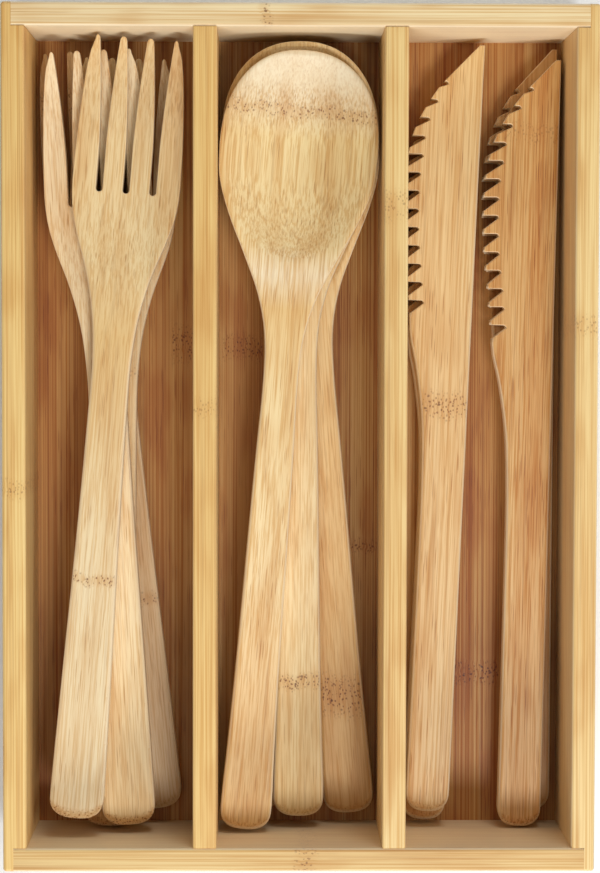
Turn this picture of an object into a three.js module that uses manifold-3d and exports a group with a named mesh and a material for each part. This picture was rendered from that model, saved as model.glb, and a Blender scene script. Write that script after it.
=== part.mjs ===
// A wooden cutlery pack: an open bamboo tray with three compartments, and the twelve pieces of
// bamboo cutlery that lie in it, four forks, four spoons and four serrated knives.
// Millimetres, +Z up, +Y towards the tines, bowls and blade tips, origin under the tray's centre.

import * as THREE from 'three';
import { mergeVertices } from 'three/addons/utils/BufferGeometryUtils.js';
import Module from 'manifold-3d';

const wasm = await Module();
wasm.setup();

// Cutlery: each piece is cut from bamboo board, about 200 mm long
const NARROWEST = 1.6;
const FORK_LENGTH = 200.6;
const SPOON_LENGTH = 202;
const KNIFE_LENGTH = 201;
const HANDLE_THICKNESS = 5.5;
const HANDLE_END_DEPTH = 6;
const HANDLE_WIDEST_AT = 8;
const KNIFE_THICKNESS = 5.6;

// Widths
const FORK_END_WIDTH = 13.8;
const FORK_NECK_WIDTH = 9.74;
const FORK_HEAD_WIDTH = 27.5;
const SPOON_END_WIDTH = 13.2;
const SPOON_NECK_WIDTH = 8.9;
const BOWL_WIDTH = 40.6;
const KNIFE_HANDLE_WIDTH = 11.3;
const BLADE_WIDTH = 19.1;

// Fork head, measured back from the tips
const FORK_HEAD_LENGTH = 60.6;
const FORK_TIP_THICKNESS = 2.6;
const SLOT_WIDTH = 1.75;
const SLOT_LENGTH = 39.5;
const SLOT_COUNT = 3;
const TINE_TIP_WIDTH = 1.5;
const TINE_TAPER_LENGTH = 27;
const TINE_TAPER_BOW = 0.35;

// Spoon bowl, measured back from its tip
const BOWL_LENGTH = 60;
const BOWL_TIP_TO_WIDEST = 25.2;
const BOWL_TIP_TO_NECK = 84.5;
const BOWL_FULLNESS = 2.25;
const BOWL_HOLLOW_DEPTH = 4.6;
const BOWL_BACK_DEPTH = 5;
const SPOON_NECK_THICKNESS = 3.9;
const BOWL_RIM_WIDTH = 1.5;
const BOWL_RIM_THICKNESS = 2.2;

// Knife teeth, cut square on the tip side and slanting back on the handle side
const TOOTH_PITCH = 4.75;
const TOOTH_DEPTH = 3.9;
const TOOTH_CORNER = 0.7;
const TOOTH_BACK_SLOPE = 0.75;
const KNIFE_TIP_WIDTH = 1.3;

// Tray: the compartments are as wide as a spoon and as long as the longest piece, with play
const TRAY_HEIGHT = 40;
const WALL = 6;
const CORNER_SKIN = 2.6;
const FLOOR_THICKNESS = 4;
const FLOOR_RAISE = 1;
const FLOOR_TONGUE = 3;
const TONGUE_PLAY = 0.3;
const SIDE_PLAY = 1.4;
const END_PLAY = 5;
const COMPARTMENTS = 3;

// Daylight left between pieces that lie on each other or near a wall
const REST_GAP = 0.3;
const WALL_GAP = 0.35;

// Settling of a pile: spacing of the height map, and how the slope of a piece is searched
const MAP_CELL = 0.75;
const STEEPEST = 0.12;
const SEARCH_STEPS = 20;
const REST_ROUNDS = 3;

const LONGEST_PIECE = Math.max(FORK_LENGTH, SPOON_LENGTH, KNIFE_LENGTH);
const COMPARTMENT_WIDTH = BOWL_WIDTH + SIDE_PLAY;
const INNER_LENGTH = LONGEST_PIECE + END_PLAY;
const INNER_WIDTH = COMPARTMENTS * COMPARTMENT_WIDTH + (COMPARTMENTS - 1) * WALL;
const TRAY_LENGTH = INNER_LENGTH + 2 * WALL;
const TRAY_WIDTH = INNER_WIDTH + 2 * WALL;
const FLOOR_TOP = FLOOR_RAISE + FLOOR_THICKNESS;

const TRAY_WOOD = { color: 0xe3bd7c, roughness: 0.55 };
const FLOOR_WOOD = { color: 0x95633a, roughness: 0.6 };
const FORK_WOOD = { color: 0xe2c28e, roughness: 0.6 };
const SPOON_WOOD = { color: 0xe4c58f, roughness: 0.6 };
const KNIFE_WOOD = { color: 0xdcb27a, roughness: 0.6 };

const pack = new THREE.Group();
pack.name = 'wooden_cutlery_pack';

function addPiece(name, geometry, wood) {
  const material = new THREE.MeshStandardMaterial({ ...wood, metalness: 0 });
  const mesh = new THREE.Mesh(geometry, material);
  mesh.name = name;
  pack.add(mesh);
  return mesh;
}

// Solids: joining and cutting

function toSolid(geometry) {
  const bare = geometry.index ? geometry.clone() : geometry;
  bare.deleteAttribute('normal');
  bare.deleteAttribute('uv');
  const merged = mergeVertices(bare, 1e-5);
  return new wasm.Manifold(new wasm.Mesh({
    numProp: 3,
    vertProperties: new Float32Array(merged.attributes.position.array),
    triVerts: new Uint32Array(merged.index.array),
  }));
}

function toGeometry(solid) {
  const mesh = solid.getMesh();
  const geometry = new THREE.BufferGeometry();
  geometry.setAttribute('position', new THREE.BufferAttribute(mesh.vertProperties, 3));
  geometry.setIndex(new THREE.BufferAttribute(mesh.triVerts, 1));
  geometry.computeVertexNormals();
  return geometry;
}

function cut(geometry, cutters) {
  let solid = toSolid(geometry);
  for (const cutter of cutters) {
    solid = solid.subtract(toSolid(cutter));
  }
  return toGeometry(solid);
}

function box(x0, x1, y0, y1, z0, z1) {
  const geometry = new THREE.BoxGeometry(x1 - x0, y1 - y0, z1 - z0);
  return geometry.translate((x0 + x1) / 2, (y0 + y1) / 2, (z0 + z1) / 2);
}

// A smooth curve through hand-chosen stations, each [distance along, value]
function curveThrough(stations) {
  const at = stations.map((station) => station[0]);
  const value = stations.map((station) => station[1]);
  const slope = at.map((_, i) => {
    const a = Math.max(i - 1, 0);
    const b = Math.min(i + 1, at.length - 1);
    return (value[b] - value[a]) / (at[b] - at[a]);
  });
  return (y) => {
    let i = 0;
    while (i < at.length - 2 && y > at[i + 1]) {
      i += 1;
    }
    const span = at[i + 1] - at[i];
    const t = THREE.MathUtils.clamp((y - at[i]) / span, 0, 1);
    const s = 1 - t;
    return value[i] * s * s * (1 + 2 * t) + value[i + 1] * t * t * (1 + 2 * s)
      + slope[i] * span * t * s * s - slope[i + 1] * span * t * t * s;
  };
}

// A strip of wood: a box whose grid is drawn out to an outline and to a top and an underside
function strip(stationsAlong, stationsAcross, halfWidth, top, underside) {
  const across = stationsAcross.length - 1;
  const along = stationsAlong.length - 1;
  const geometry = new THREE.BoxGeometry(1, 1, 1, across, along, 1);
  const position = geometry.attributes.position;
  for (let i = 0; i < position.count; i += 1) {
    const u = stationsAcross[Math.round((position.getX(i) + 0.5) * across)];
    const y = stationsAlong[Math.round((position.getY(i) + 0.5) * along)];
    const z = position.getZ(i) > 0 ? top(u, y) : underside(u, y);
    position.setXYZ(i, u * halfWidth(y), y, z);
  }
  geometry.computeVertexNormals();
  return geometry;
}

// Handle ends are half ellipses: 0 at the very end, 1 where the full width is reached
function endRounding(y) {
  const t = THREE.MathUtils.clamp(1 - y / HANDLE_END_DEPTH, 0, 1);
  return Math.sqrt(1 - t * t);
}

// Stations along a handle, closer together where its end rounds off
function handleStations(handleLength, shares) {
  const end = [0, 0.03, 0.15, 0.4, 0.7].map((share) => share * HANDLE_END_DEPTH);
  return [...end, HANDLE_WIDEST_AT, ...shares.map((share) => share * handleLength)];
}

// Fork

const FORK_HANDLE = FORK_LENGTH - FORK_HEAD_LENGTH;

const forkHalfWidth = curveThrough([
  [0, FORK_END_WIDTH / 2],
  [HANDLE_WIDEST_AT, FORK_END_WIDTH / 2],
  [FORK_HANDLE * 0.29, FORK_NECK_WIDTH / 2 + 1.33],
  [FORK_HANDLE * 0.57, FORK_NECK_WIDTH / 2 + 0.43],
  [FORK_HANDLE * 0.8, FORK_NECK_WIDTH / 2],
  [FORK_HANDLE - 20, FORK_NECK_WIDTH / 2 + 0.18],
  [FORK_HANDLE - 10, FORK_NECK_WIDTH / 2 + 1.18],
  [FORK_HANDLE, FORK_NECK_WIDTH / 2 + 3.43],
  [FORK_LENGTH - 50.6, FORK_HEAD_WIDTH / 2 - 2.15],
  [FORK_LENGTH - 45, FORK_HEAD_WIDTH / 2 - 0.7],
  [FORK_LENGTH - 39, FORK_HEAD_WIDTH / 2],
  [FORK_LENGTH - 32, FORK_HEAD_WIDTH / 2],
  [FORK_LENGTH - 20, FORK_HEAD_WIDTH / 2 - 0.5],
  [FORK_LENGTH - 10, FORK_HEAD_WIDTH / 2 - 1.3],
  [FORK_LENGTH - 4, FORK_HEAD_WIDTH / 2 - 2.2],
  [FORK_LENGTH, FORK_HEAD_WIDTH / 2 - 3.6],
]);

const forkTop = curveThrough([
  [0, HANDLE_THICKNESS + 0.2],
  [FORK_HANDLE * 0.4, HANDLE_THICKNESS + 1.2],
  [FORK_HANDLE * 0.78, HANDLE_THICKNESS + 2.5],
  [FORK_LENGTH - 66, HANDLE_THICKNESS + 1.5],
  [FORK_LENGTH - 46, HANDLE_THICKNESS - 0.7],
  [FORK_LENGTH - 30, HANDLE_THICKNESS - 1.3],
  [FORK_LENGTH - 14, HANDLE_THICKNESS - 0.3],
  [FORK_LENGTH, HANDLE_THICKNESS + 1.5],
]);

const forkThickness = curveThrough([
  [0, HANDLE_THICKNESS],
  [FORK_HANDLE * 0.8, HANDLE_THICKNESS],
  [FORK_HANDLE, HANDLE_THICKNESS - 0.8],
  [FORK_LENGTH - 34, HANDLE_THICKNESS - 1.2],
  [FORK_LENGTH, FORK_TIP_THICKNESS],
]);

const TINE_PITCH = FORK_HEAD_WIDTH / (SLOT_COUNT + 1);

// A slot between two tines, with a round root, parallel sides and then a flare to the tips
function slotCutter(centre) {
  const root = FORK_LENGTH - SLOT_LENGTH + SLOT_WIDTH / 2;
  const flareStart = FORK_LENGTH - TINE_TAPER_LENGTH;
  const flareMiddle = FORK_LENGTH - TINE_TAPER_LENGTH * 0.45;
  const half = SLOT_WIDTH / 2;
  const mouth = (TINE_PITCH - TINE_TIP_WIDTH) / 2;
  const beyond = 3;
  const shape = new THREE.Shape();
  shape.absarc(0, root, half, 0, Math.PI, true);
  shape.lineTo(-half, flareStart);
  shape.quadraticCurveTo(-half - TINE_TAPER_BOW, flareMiddle, -mouth, FORK_LENGTH);
  shape.lineTo(-mouth, FORK_LENGTH + beyond);
  shape.lineTo(mouth, FORK_LENGTH + beyond);
  shape.lineTo(mouth, FORK_LENGTH);
  shape.quadraticCurveTo(half + TINE_TAPER_BOW, flareMiddle, half, flareStart);
  const depth = 6 * HANDLE_THICKNESS;
  const cutter = new THREE.ExtrudeGeometry(shape, { depth, bevelEnabled: false, curveSegments: 5 });
  return cutter.translate(centre, 0, -depth / 3);
}

function forkGeometry() {
  const handle = handleStations(FORK_HANDLE, [0.2, 0.42, 0.6, 0.72, 0.82]);
  const head = [80.6, 72, 66, 60.6, 56, 50.6, 47, 43, 38, 32, 26, 20, 14, 9, 5, 2, 0];
  const body = strip(
    [...handle, ...head.map((back) => FORK_LENGTH - back)],
    [-1, 0, 1],
    (y) => Math.max(forkHalfWidth(y) * endRounding(y), NARROWEST / 2),
    (u, y) => forkTop(y),
    (u, y) => forkTop(y) - forkThickness(y),
  );
  const slots = [];
  for (let i = 0; i < SLOT_COUNT; i += 1) {
    slots.push(slotCutter((i - (SLOT_COUNT - 1) / 2) * TINE_PITCH));
  }
  return cut(body, slots);
}

// Spoon

const BOWL_WIDEST = SPOON_LENGTH - BOWL_TIP_TO_WIDEST;
const NECK = SPOON_LENGTH - BOWL_TIP_TO_NECK;

const spoonSideCurve = curveThrough([
  [0, SPOON_END_WIDTH / 2],
  [HANDLE_WIDEST_AT, SPOON_END_WIDTH / 2],
  [NECK * 0.17, SPOON_NECK_WIDTH / 2 + 1.75],
  [NECK * 0.34, SPOON_NECK_WIDTH / 2 + 1.25],
  [NECK * 0.51, SPOON_NECK_WIDTH / 2 + 0.95],
  [NECK * 0.7, SPOON_NECK_WIDTH / 2 + 0.65],
  [NECK * 0.85, SPOON_NECK_WIDTH / 2 + 0.35],
  [NECK, SPOON_NECK_WIDTH / 2],
  [NECK + 12, SPOON_NECK_WIDTH / 2 + 0.65],
  [NECK + 22, SPOON_NECK_WIDTH / 2 + 3.15],
  [SPOON_LENGTH - 52.5, BOWL_WIDTH / 2 - 8.3],
  [SPOON_LENGTH - 42.5, BOWL_WIDTH / 2 - 3.6],
  [SPOON_LENGTH - 33.5, BOWL_WIDTH / 2 - 0.6],
  [BOWL_WIDEST, BOWL_WIDTH / 2],
]);

function spoonHalfWidth(y) {
  if (y < BOWL_WIDEST) {
    return spoonSideCurve(y) * endRounding(y);
  }
  const t = (y - BOWL_WIDEST) / BOWL_TIP_TO_WIDEST;
  return (BOWL_WIDTH / 2) * Math.max(1 - t ** BOWL_FULLNESS, 0) ** (1 / BOWL_FULLNESS);
}

const spoonRim = curveThrough([
  [0, HANDLE_THICKNESS],
  [NECK * 0.45, HANDLE_THICKNESS + 1.2],
  [NECK * 0.88, HANDLE_THICKNESS + 2.7],
  [SPOON_LENGTH - 70, HANDLE_THICKNESS + 2.7],
  [SPOON_LENGTH - 50, HANDLE_THICKNESS + 2.2],
  [SPOON_LENGTH - 25, HANDLE_THICKNESS + 2.2],
  [SPOON_LENGTH, HANDLE_THICKNESS + 3.8],
]);

const spoonThickness = curveThrough([
  [0, HANDLE_THICKNESS],
  [NECK * 0.45, HANDLE_THICKNESS],
  [NECK, SPOON_NECK_THICKNESS],
  [SPOON_LENGTH - 58, BOWL_RIM_THICKNESS + 1.4],
  [SPOON_LENGTH - 40, BOWL_RIM_THICKNESS],
  [SPOON_LENGTH, BOWL_RIM_THICKNESS - 0.4],
]);

// How far the bowl has sunk at a station, from 0 at its heel and tip to 1 in its middle
function bowlSink(y) {
  const t = (y - (SPOON_LENGTH - BOWL_LENGTH / 2)) / (BOWL_LENGTH / 2);
  return Math.sqrt(Math.max(1 - Math.abs(t) ** 2.4, 0));
}

function spoonGeometry() {
  const handle = handleStations(NECK, [0.17, 0.4, 0.6, 0.8, 0.92, 1]);
  const bowl = [76, 70, 64, 59, 54, 49, 44, 38, 32, 26, 20, 15, 10.5, 7, 4, 2, 0.7, 0.1];
  const rimShare = 1 - BOWL_RIM_WIDTH / (BOWL_WIDTH / 2);
  const hollowShares = [-0.55, 0, 0.55].map((share) => share * rimShare);
  return strip(
    [...handle, ...bowl.map((back) => SPOON_LENGTH - back)],
    [-1, -rimShare, ...hollowShares, rimShare, 1],
    (y) => Math.max(spoonHalfWidth(y), NARROWEST / 2),
    (u, y) => spoonRim(y) - BOWL_HOLLOW_DEPTH * bowlSink(y) * Math.max(1 - (u / rimShare) ** 2, 0),
    (u, y) => spoonRim(y) - spoonThickness(y) - BOWL_BACK_DEPTH * bowlSink(y) * (1 - u * u),
  );
}

// Knife: the spine is straight and the cutting edge lies on the -X side

const knifeEdge = curveThrough([
  [0, KNIFE_HANDLE_WIDTH],
  [KNIFE_LENGTH - 122, KNIFE_HANDLE_WIDTH - 0.2],
  [KNIFE_LENGTH - 104, KNIFE_HANDLE_WIDTH + 0.2],
  [KNIFE_LENGTH - 95, KNIFE_HANDLE_WIDTH + 0.9],
  [KNIFE_LENGTH - 83.4, BLADE_WIDTH - 5],
  [KNIFE_LENGTH - 76, BLADE_WIDTH - 3.2],
  [KNIFE_LENGTH - 72, BLADE_WIDTH - 2.9],
  [KNIFE_LENGTH - 60, BLADE_WIDTH - 1.7],
  [KNIFE_LENGTH - 49, BLADE_WIDTH - 0.4],
  [KNIFE_LENGTH - 38, BLADE_WIDTH],
  [KNIFE_LENGTH - 30, BLADE_WIDTH - 0.4],
  [KNIFE_LENGTH - 21, BLADE_WIDTH - 2.4],
  [KNIFE_LENGTH - 11.7, BLADE_WIDTH - 7.4],
  [KNIFE_LENGTH - 7.2, BLADE_WIDTH - 11.1],
]);

// The first teeth are shallow, because the blade narrows to its tip there
function gulletDepth(index) {
  return TOOTH_DEPTH * Math.min(0.3 + 0.18 * index, 1);
}

function knifeOutline(teeth) {
  const shape = new THREE.Shape();
  shape.moveTo(0, HANDLE_END_DEPTH);
  shape.lineTo(0, KNIFE_LENGTH);
  shape.lineTo(-KNIFE_TIP_WIDTH, KNIFE_LENGTH);
  let y = KNIFE_LENGTH - teeth.fromTip;
  for (let i = 0; i < teeth.count; i += 1) {
    const depth = gulletDepth(i);
    const root = -knifeEdge(y) + depth;
    const backEnd = y - TOOTH_CORNER - depth * TOOTH_BACK_SLOPE;
    shape.lineTo(-knifeEdge(y), y);
    shape.lineTo(root - TOOTH_CORNER, y);
    shape.quadraticCurveTo(root, y, root, y - TOOTH_CORNER);
    shape.lineTo(-knifeEdge(backEnd), backEnd);
    y -= TOOTH_PITCH;
  }
  for (const back of [0, 4, 9, 15, 22, 30, 40, 52]) {
    shape.lineTo(-knifeEdge(y - back), y - back);
  }
  const half = KNIFE_HANDLE_WIDTH / 2;
  shape.lineTo(-KNIFE_HANDLE_WIDTH, HANDLE_END_DEPTH);
  shape.absellipse(-half, HANDLE_END_DEPTH, half, HANDLE_END_DEPTH, Math.PI, 2 * Math.PI, false);
  return shape;
}

function knifeGeometry(teeth) {
  return new THREE.ExtrudeGeometry(knifeOutline(teeth), {
    depth: KNIFE_THICKNESS, bevelEnabled: false, curveSegments: 3,
  });
}

// Tray

function grooveFor(x0, x1, y0, y1) {
  return box(x0, x1, y0, y1, FLOOR_RAISE, FLOOR_TOP);
}

function sideWall(name, side) {
  const outer = TRAY_WIDTH / 2;
  const inner = outer - WALL;
  const halfLength = TRAY_LENGTH / 2;
  const wall = box(inner, outer, -halfLength, halfLength, 0, TRAY_HEIGHT);
  const past = 1;
  const cutters = [-1, 1].map((end) => {
    const near = end * (halfLength - WALL);
    const far = end * (halfLength + past);
    return box(inner - past, outer - CORNER_SKIN, Math.min(near, far), Math.max(near, far),
      -past, TRAY_HEIGHT + past);
  });
  cutters.push(grooveFor(inner - past, inner + FLOOR_TONGUE + TONGUE_PLAY, -halfLength - past,
    halfLength + past));
  const geometry = cut(wall, cutters);
  const mesh = addPiece(name, geometry, TRAY_WOOD);
  mesh.rotation.z = side > 0 ? 0 : Math.PI;
}

function endWall(name, side) {
  const halfWidth = TRAY_WIDTH / 2 - CORNER_SKIN;
  const inner = TRAY_LENGTH / 2 - WALL;
  const wall = box(-halfWidth, halfWidth, inner, inner + WALL, 0, TRAY_HEIGHT);
  const past = 1;
  const groove = grooveFor(-halfWidth - past, halfWidth + past, inner - past,
    inner + FLOOR_TONGUE + TONGUE_PLAY);
  const mesh = addPiece(name, cut(wall, [groove]), TRAY_WOOD);
  mesh.rotation.z = side > 0 ? 0 : Math.PI;
}

function compartmentCentre(index) {
  return (index - (COMPARTMENTS - 1) / 2) * (COMPARTMENT_WIDTH + WALL);
}

function buildTray() {
  const floorX = INNER_WIDTH / 2 + FLOOR_TONGUE;
  const floorY = INNER_LENGTH / 2 + FLOOR_TONGUE;
  addPiece('floor_panel', box(-floorX, floorX, -floorY, floorY, FLOOR_RAISE, FLOOR_TOP), FLOOR_WOOD);
  sideWall('wall_left', -1);
  sideWall('wall_right', 1);
  endWall('wall_head', 1);
  endWall('wall_foot', -1);
  for (let i = 1; i < COMPARTMENTS; i += 1) {
    const x = (compartmentCentre(i - 1) + compartmentCentre(i)) / 2;
    const divider = box(x - WALL / 2, x + WALL / 2, -INNER_LENGTH / 2, INNER_LENGTH / 2,
      FLOOR_TOP, TRAY_HEIGHT);
    addPiece(`divider_${i}`, divider, TRAY_WOOD);
  }
}

// Resting: each compartment keeps a map of the height that is already filled

function emptyMap(index) {
  const columns = Math.ceil(COMPARTMENT_WIDTH / MAP_CELL) + 1;
  const rows = Math.ceil(INNER_LENGTH / MAP_CELL) + 1;
  return {
    x: compartmentCentre(index) - ((columns - 1) * MAP_CELL) / 2,
    y: (-(rows - 1) * MAP_CELL) / 2,
    columns,
    rows,
    height: new Float64Array(columns * rows).fill(FLOOR_TOP),
  };
}

// Calls visit(cell, height) for each map point that a triangle of the mesh covers
function scanSurface(mesh, map, visit) {
  mesh.updateMatrixWorld(true);
  const source = mesh.geometry.index ? mesh.geometry.toNonIndexed() : mesh.geometry;
  const position = source.attributes.position;
  const [a, b, c] = [new THREE.Vector3(), new THREE.Vector3(), new THREE.Vector3()];
  for (let i = 0; i < position.count; i += 3) {
    a.fromBufferAttribute(position, i).applyMatrix4(mesh.matrixWorld);
    b.fromBufferAttribute(position, i + 1).applyMatrix4(mesh.matrixWorld);
    c.fromBufferAttribute(position, i + 2).applyMatrix4(mesh.matrixWorld);
    const area = (b.x - a.x) * (c.y - a.y) - (c.x - a.x) * (b.y - a.y);
    if (Math.abs(area) < 1e-9) {
      continue;
    }
    const firstColumn = Math.max(Math.ceil((Math.min(a.x, b.x, c.x) - map.x) / MAP_CELL), 0);
    const lastColumn = Math.min(Math.floor((Math.max(a.x, b.x, c.x) - map.x) / MAP_CELL), map.columns - 1);
    const firstRow = Math.max(Math.ceil((Math.min(a.y, b.y, c.y) - map.y) / MAP_CELL), 0);
    const lastRow = Math.min(Math.floor((Math.max(a.y, b.y, c.y) - map.y) / MAP_CELL), map.rows - 1);
    for (let row = firstRow; row <= lastRow; row += 1) {
      const y = map.y + row * MAP_CELL;
      for (let column = firstColumn; column <= lastColumn; column += 1) {
        const x = map.x + column * MAP_CELL;
        const wb = ((x - a.x) * (c.y - a.y) - (c.x - a.x) * (y - a.y)) / area;
        const wc = ((b.x - a.x) * (y - a.y) - (x - a.x) * (b.y - a.y)) / area;
        if (wb >= -1e-6 && wc >= -1e-6 && wb + wc <= 1 + 1e-6) {
          visit(row * map.columns + column, a.z + wb * (b.z - a.z) + wc * (c.z - a.z));
        }
      }
    }
  }
}

// Centre of mass of a closed mesh, in its own frame
function massCentre(geometry) {
  const source = geometry.index ? geometry.toNonIndexed() : geometry;
  const position = source.attributes.position;
  const [a, b, c] = [new THREE.Vector3(), new THREE.Vector3(), new THREE.Vector3()];
  const centre = new THREE.Vector3();
  let total = 0;
  for (let i = 0; i < position.count; i += 3) {
    a.fromBufferAttribute(position, i);
    b.fromBufferAttribute(position, i + 1);
    c.fromBufferAttribute(position, i + 2);
    const volume = a.dot(b.clone().cross(c)) / 6;
    centre.addScaledVector(a.clone().add(b).add(c), volume / 4);
    total += volume;
  }
  return centre.divideScalar(total);
}

// Points where the piece lies over the pile: place from the mass centre, and how far it must rise
function contactsOf(mesh, centre, map) {
  const underside = new Float64Array(map.height.length).fill(Infinity);
  scanSurface(mesh, map, (cell, height) => {
    underside[cell] = Math.min(underside[cell], height);
  });
  const contacts = [];
  underside.forEach((height, cell) => {
    if (height < Infinity) {
      const x = map.x + (cell % map.columns) * MAP_CELL - centre.x;
      const y = map.y + Math.floor(cell / map.columns) * MAP_CELL - centre.y;
      contacts.push({ x, y, rise: map.height[cell] - height });
    }
  });
  return contacts;
}

function riseFor(contacts, slopeX, slopeY) {
  let rise = -Infinity;
  for (const contact of contacts) {
    rise = Math.max(rise, contact.rise - slopeX * contact.x - slopeY * contact.y);
  }
  return rise;
}

// The lowest point of a valley-shaped function between two ends
function lowest(measure, from, to, steps) {
  let [a, b] = [from, to];
  for (let i = 0; i < steps; i += 1) {
    const left = a + (b - a) / 3;
    const right = b - (b - a) / 3;
    if (measure(left) < measure(right)) {
      b = right;
    } else {
      a = left;
    }
  }
  return (a + b) / 2;
}

// A piece comes to rest at the slope that lets its mass centre sink lowest
function layDown(mesh, map, centreInPlan) {
  const centre = massCentre(mesh.geometry);
  const yaw = mesh.rotation.z;
  const moveCentreTo = (height) => {
    const offset = centre.clone().applyEuler(mesh.rotation);
    mesh.position.set(centreInPlan.x - offset.x, centreInPlan.y - offset.y, height - offset.z);
  };
  let height = TRAY_HEIGHT;
  moveCentreTo(height);
  for (let round = 0; round < REST_ROUNDS; round += 1) {
    const contacts = contactsOf(mesh, centreInPlan, map);
    const bestX = (slopeY) => lowest(
      (slopeX) => riseFor(contacts, slopeX, slopeY), -STEEPEST, STEEPEST, SEARCH_STEPS);
    const slopeY = lowest(
      (slope) => riseFor(contacts, bestX(slope), slope), -STEEPEST, STEEPEST, SEARCH_STEPS);
    const slopeX = bestX(slopeY);
    mesh.rotation.set(mesh.rotation.x + slopeY, mesh.rotation.y - slopeX, yaw);
    moveCentreTo(height);
  }
  height += riseFor(contactsOf(mesh, centreInPlan, map), 0, 0) + REST_GAP;
  moveCentreTo(height);
  scanSurface(mesh, map, (cell, surface) => {
    map.height[cell] = Math.max(map.height[cell], surface);
  });
}

// A piece's place in its compartment, as shares of the room it has there: how far its handle end
// and its head lie to the side, from -1 to 1, and how far it is pushed towards the head wall
function putIn(compartment, mesh, form, place, map) {
  const middle = compartmentCentre(compartment);
  const room = COMPARTMENT_WIDTH / 2 - WALL_GAP;
  const endX = middle + place.end * (room - form.endWidth / 2) - form.endCentre;
  const headX = middle + place.head * (room - form.headWidth / 2) - form.headCentre;
  const yaw = Math.atan2(endX - headX, form.headAt);
  const play = INNER_LENGTH - form.length - 2 * WALL_GAP;
  const endY = -INNER_LENGTH / 2 + WALL_GAP + place.push * play;
  mesh.rotation.z = yaw;
  const centre = massCentre(mesh.geometry).applyEuler(mesh.rotation);
  layDown(mesh, map, { x: endX + centre.x, y: endY + centre.y });
}

// Places run from the bottom of the pile to its top
function fillCompartment(index, name, wood, form, places) {
  const map = emptyMap(index);
  places.forEach((place, i) => {
    const mesh = addPiece(`${name}_${i + 1}`, form.geometry(place), wood);
    putIn(index, mesh, form, place, map);
  });
}

const forkForm = {
  geometry: forkGeometry,
  length: FORK_LENGTH,
  endWidth: FORK_END_WIDTH,
  endCentre: 0,
  headWidth: FORK_HEAD_WIDTH,
  headCentre: 0,
  headAt: FORK_LENGTH - 35,
};
const spoonForm = {
  geometry: spoonGeometry,
  length: SPOON_LENGTH,
  endWidth: SPOON_END_WIDTH,
  endCentre: 0,
  headWidth: BOWL_WIDTH,
  headCentre: 0,
  headAt: BOWL_WIDEST,
};
const knifeForm = {
  geometry: (place) => knifeGeometry(place.teeth),
  length: KNIFE_LENGTH,
  endWidth: KNIFE_HANDLE_WIDTH,
  endCentre: -KNIFE_HANDLE_WIDTH / 2,
  headWidth: BLADE_WIDTH,
  headCentre: -BLADE_WIDTH / 2,
  headAt: KNIFE_LENGTH - 38,
};

buildTray();

fillCompartment(0, 'fork', FORK_WOOD, forkForm, [
  { end: 0.77, head: -0.75, push: 0.68 },
  { end: -0.12, head: 0.31, push: 0.07 },
  { end: 0.29, head: -0.6, push: 0.36 },
  { end: -0.7, head: 0.55, push: 0.9 },
]);

fillCompartment(1, 'spoon', SPOON_WOOD, spoonForm, [
  { end: -0.88, head: -0.6, push: 0.8 },
  { end: 0.97, head: 0.8, push: 0.75 },
  { end: 0, head: 0.5, push: 0.82 },
  { end: -1, head: -0.9, push: 0.3 },
]);

// The rows of teeth differ a little: how far the first lies from the tip, and how many there are
fillCompartment(2, 'knife', KNIFE_WOOD, knifeForm, [
  { end: -0.98, head: -1, push: 0.15, teeth: { fromTip: 9.7, count: 13 } },
  { end: -0.94, head: -1, push: 0.78, teeth: { fromTip: 9.7, count: 13 } },
  { end: 0.88, head: 0.88, push: 0.68, teeth: { fromTip: 10.6, count: 13 } },
  { end: 0.68, head: 0.86, push: 0.05, teeth: { fromTip: 7.3, count: 14 } },
]);

export default pack;
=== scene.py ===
# %% [markdown]
# # A wooden cutlery pack
# The object is an open bamboo tray with three compartments side by side. Forks lie in the left
# one, spoons in the middle one and serrated knives in the right one, each kind in a loose pile.
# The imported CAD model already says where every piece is. It could be given a nicer material and
# left as it is, but its pieces are faceted and sharp-edged. So each piece is modelled again here
# with rounded edges and a real bamboo surface, and is laid exactly where its CAD twin lies.

# %% Load the frame
import bisect
import math

import bmesh
import bpy
import numpy as np
from mathutils import Matrix, Vector
from mathutils.bvhtree import BVHTree


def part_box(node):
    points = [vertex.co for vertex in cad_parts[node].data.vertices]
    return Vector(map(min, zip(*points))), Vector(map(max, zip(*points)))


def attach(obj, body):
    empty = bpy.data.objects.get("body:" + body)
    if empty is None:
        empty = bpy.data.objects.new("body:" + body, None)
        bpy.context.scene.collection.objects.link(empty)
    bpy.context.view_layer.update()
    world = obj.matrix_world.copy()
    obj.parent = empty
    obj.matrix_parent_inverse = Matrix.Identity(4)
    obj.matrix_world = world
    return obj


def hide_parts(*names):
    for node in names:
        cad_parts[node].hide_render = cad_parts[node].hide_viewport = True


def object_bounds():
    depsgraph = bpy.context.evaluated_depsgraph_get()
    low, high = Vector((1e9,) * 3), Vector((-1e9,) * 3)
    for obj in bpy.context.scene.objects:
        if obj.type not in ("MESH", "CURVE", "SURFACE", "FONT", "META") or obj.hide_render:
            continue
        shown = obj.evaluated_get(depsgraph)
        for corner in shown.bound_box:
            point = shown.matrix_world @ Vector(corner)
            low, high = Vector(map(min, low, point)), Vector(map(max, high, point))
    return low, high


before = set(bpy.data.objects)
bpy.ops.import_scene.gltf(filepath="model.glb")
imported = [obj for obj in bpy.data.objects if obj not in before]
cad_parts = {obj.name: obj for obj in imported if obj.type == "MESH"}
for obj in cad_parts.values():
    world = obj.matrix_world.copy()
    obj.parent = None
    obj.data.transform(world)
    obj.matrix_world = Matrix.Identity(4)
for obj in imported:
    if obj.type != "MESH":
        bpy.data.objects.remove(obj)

MM = 0.001
cad_low, cad_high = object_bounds()
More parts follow.
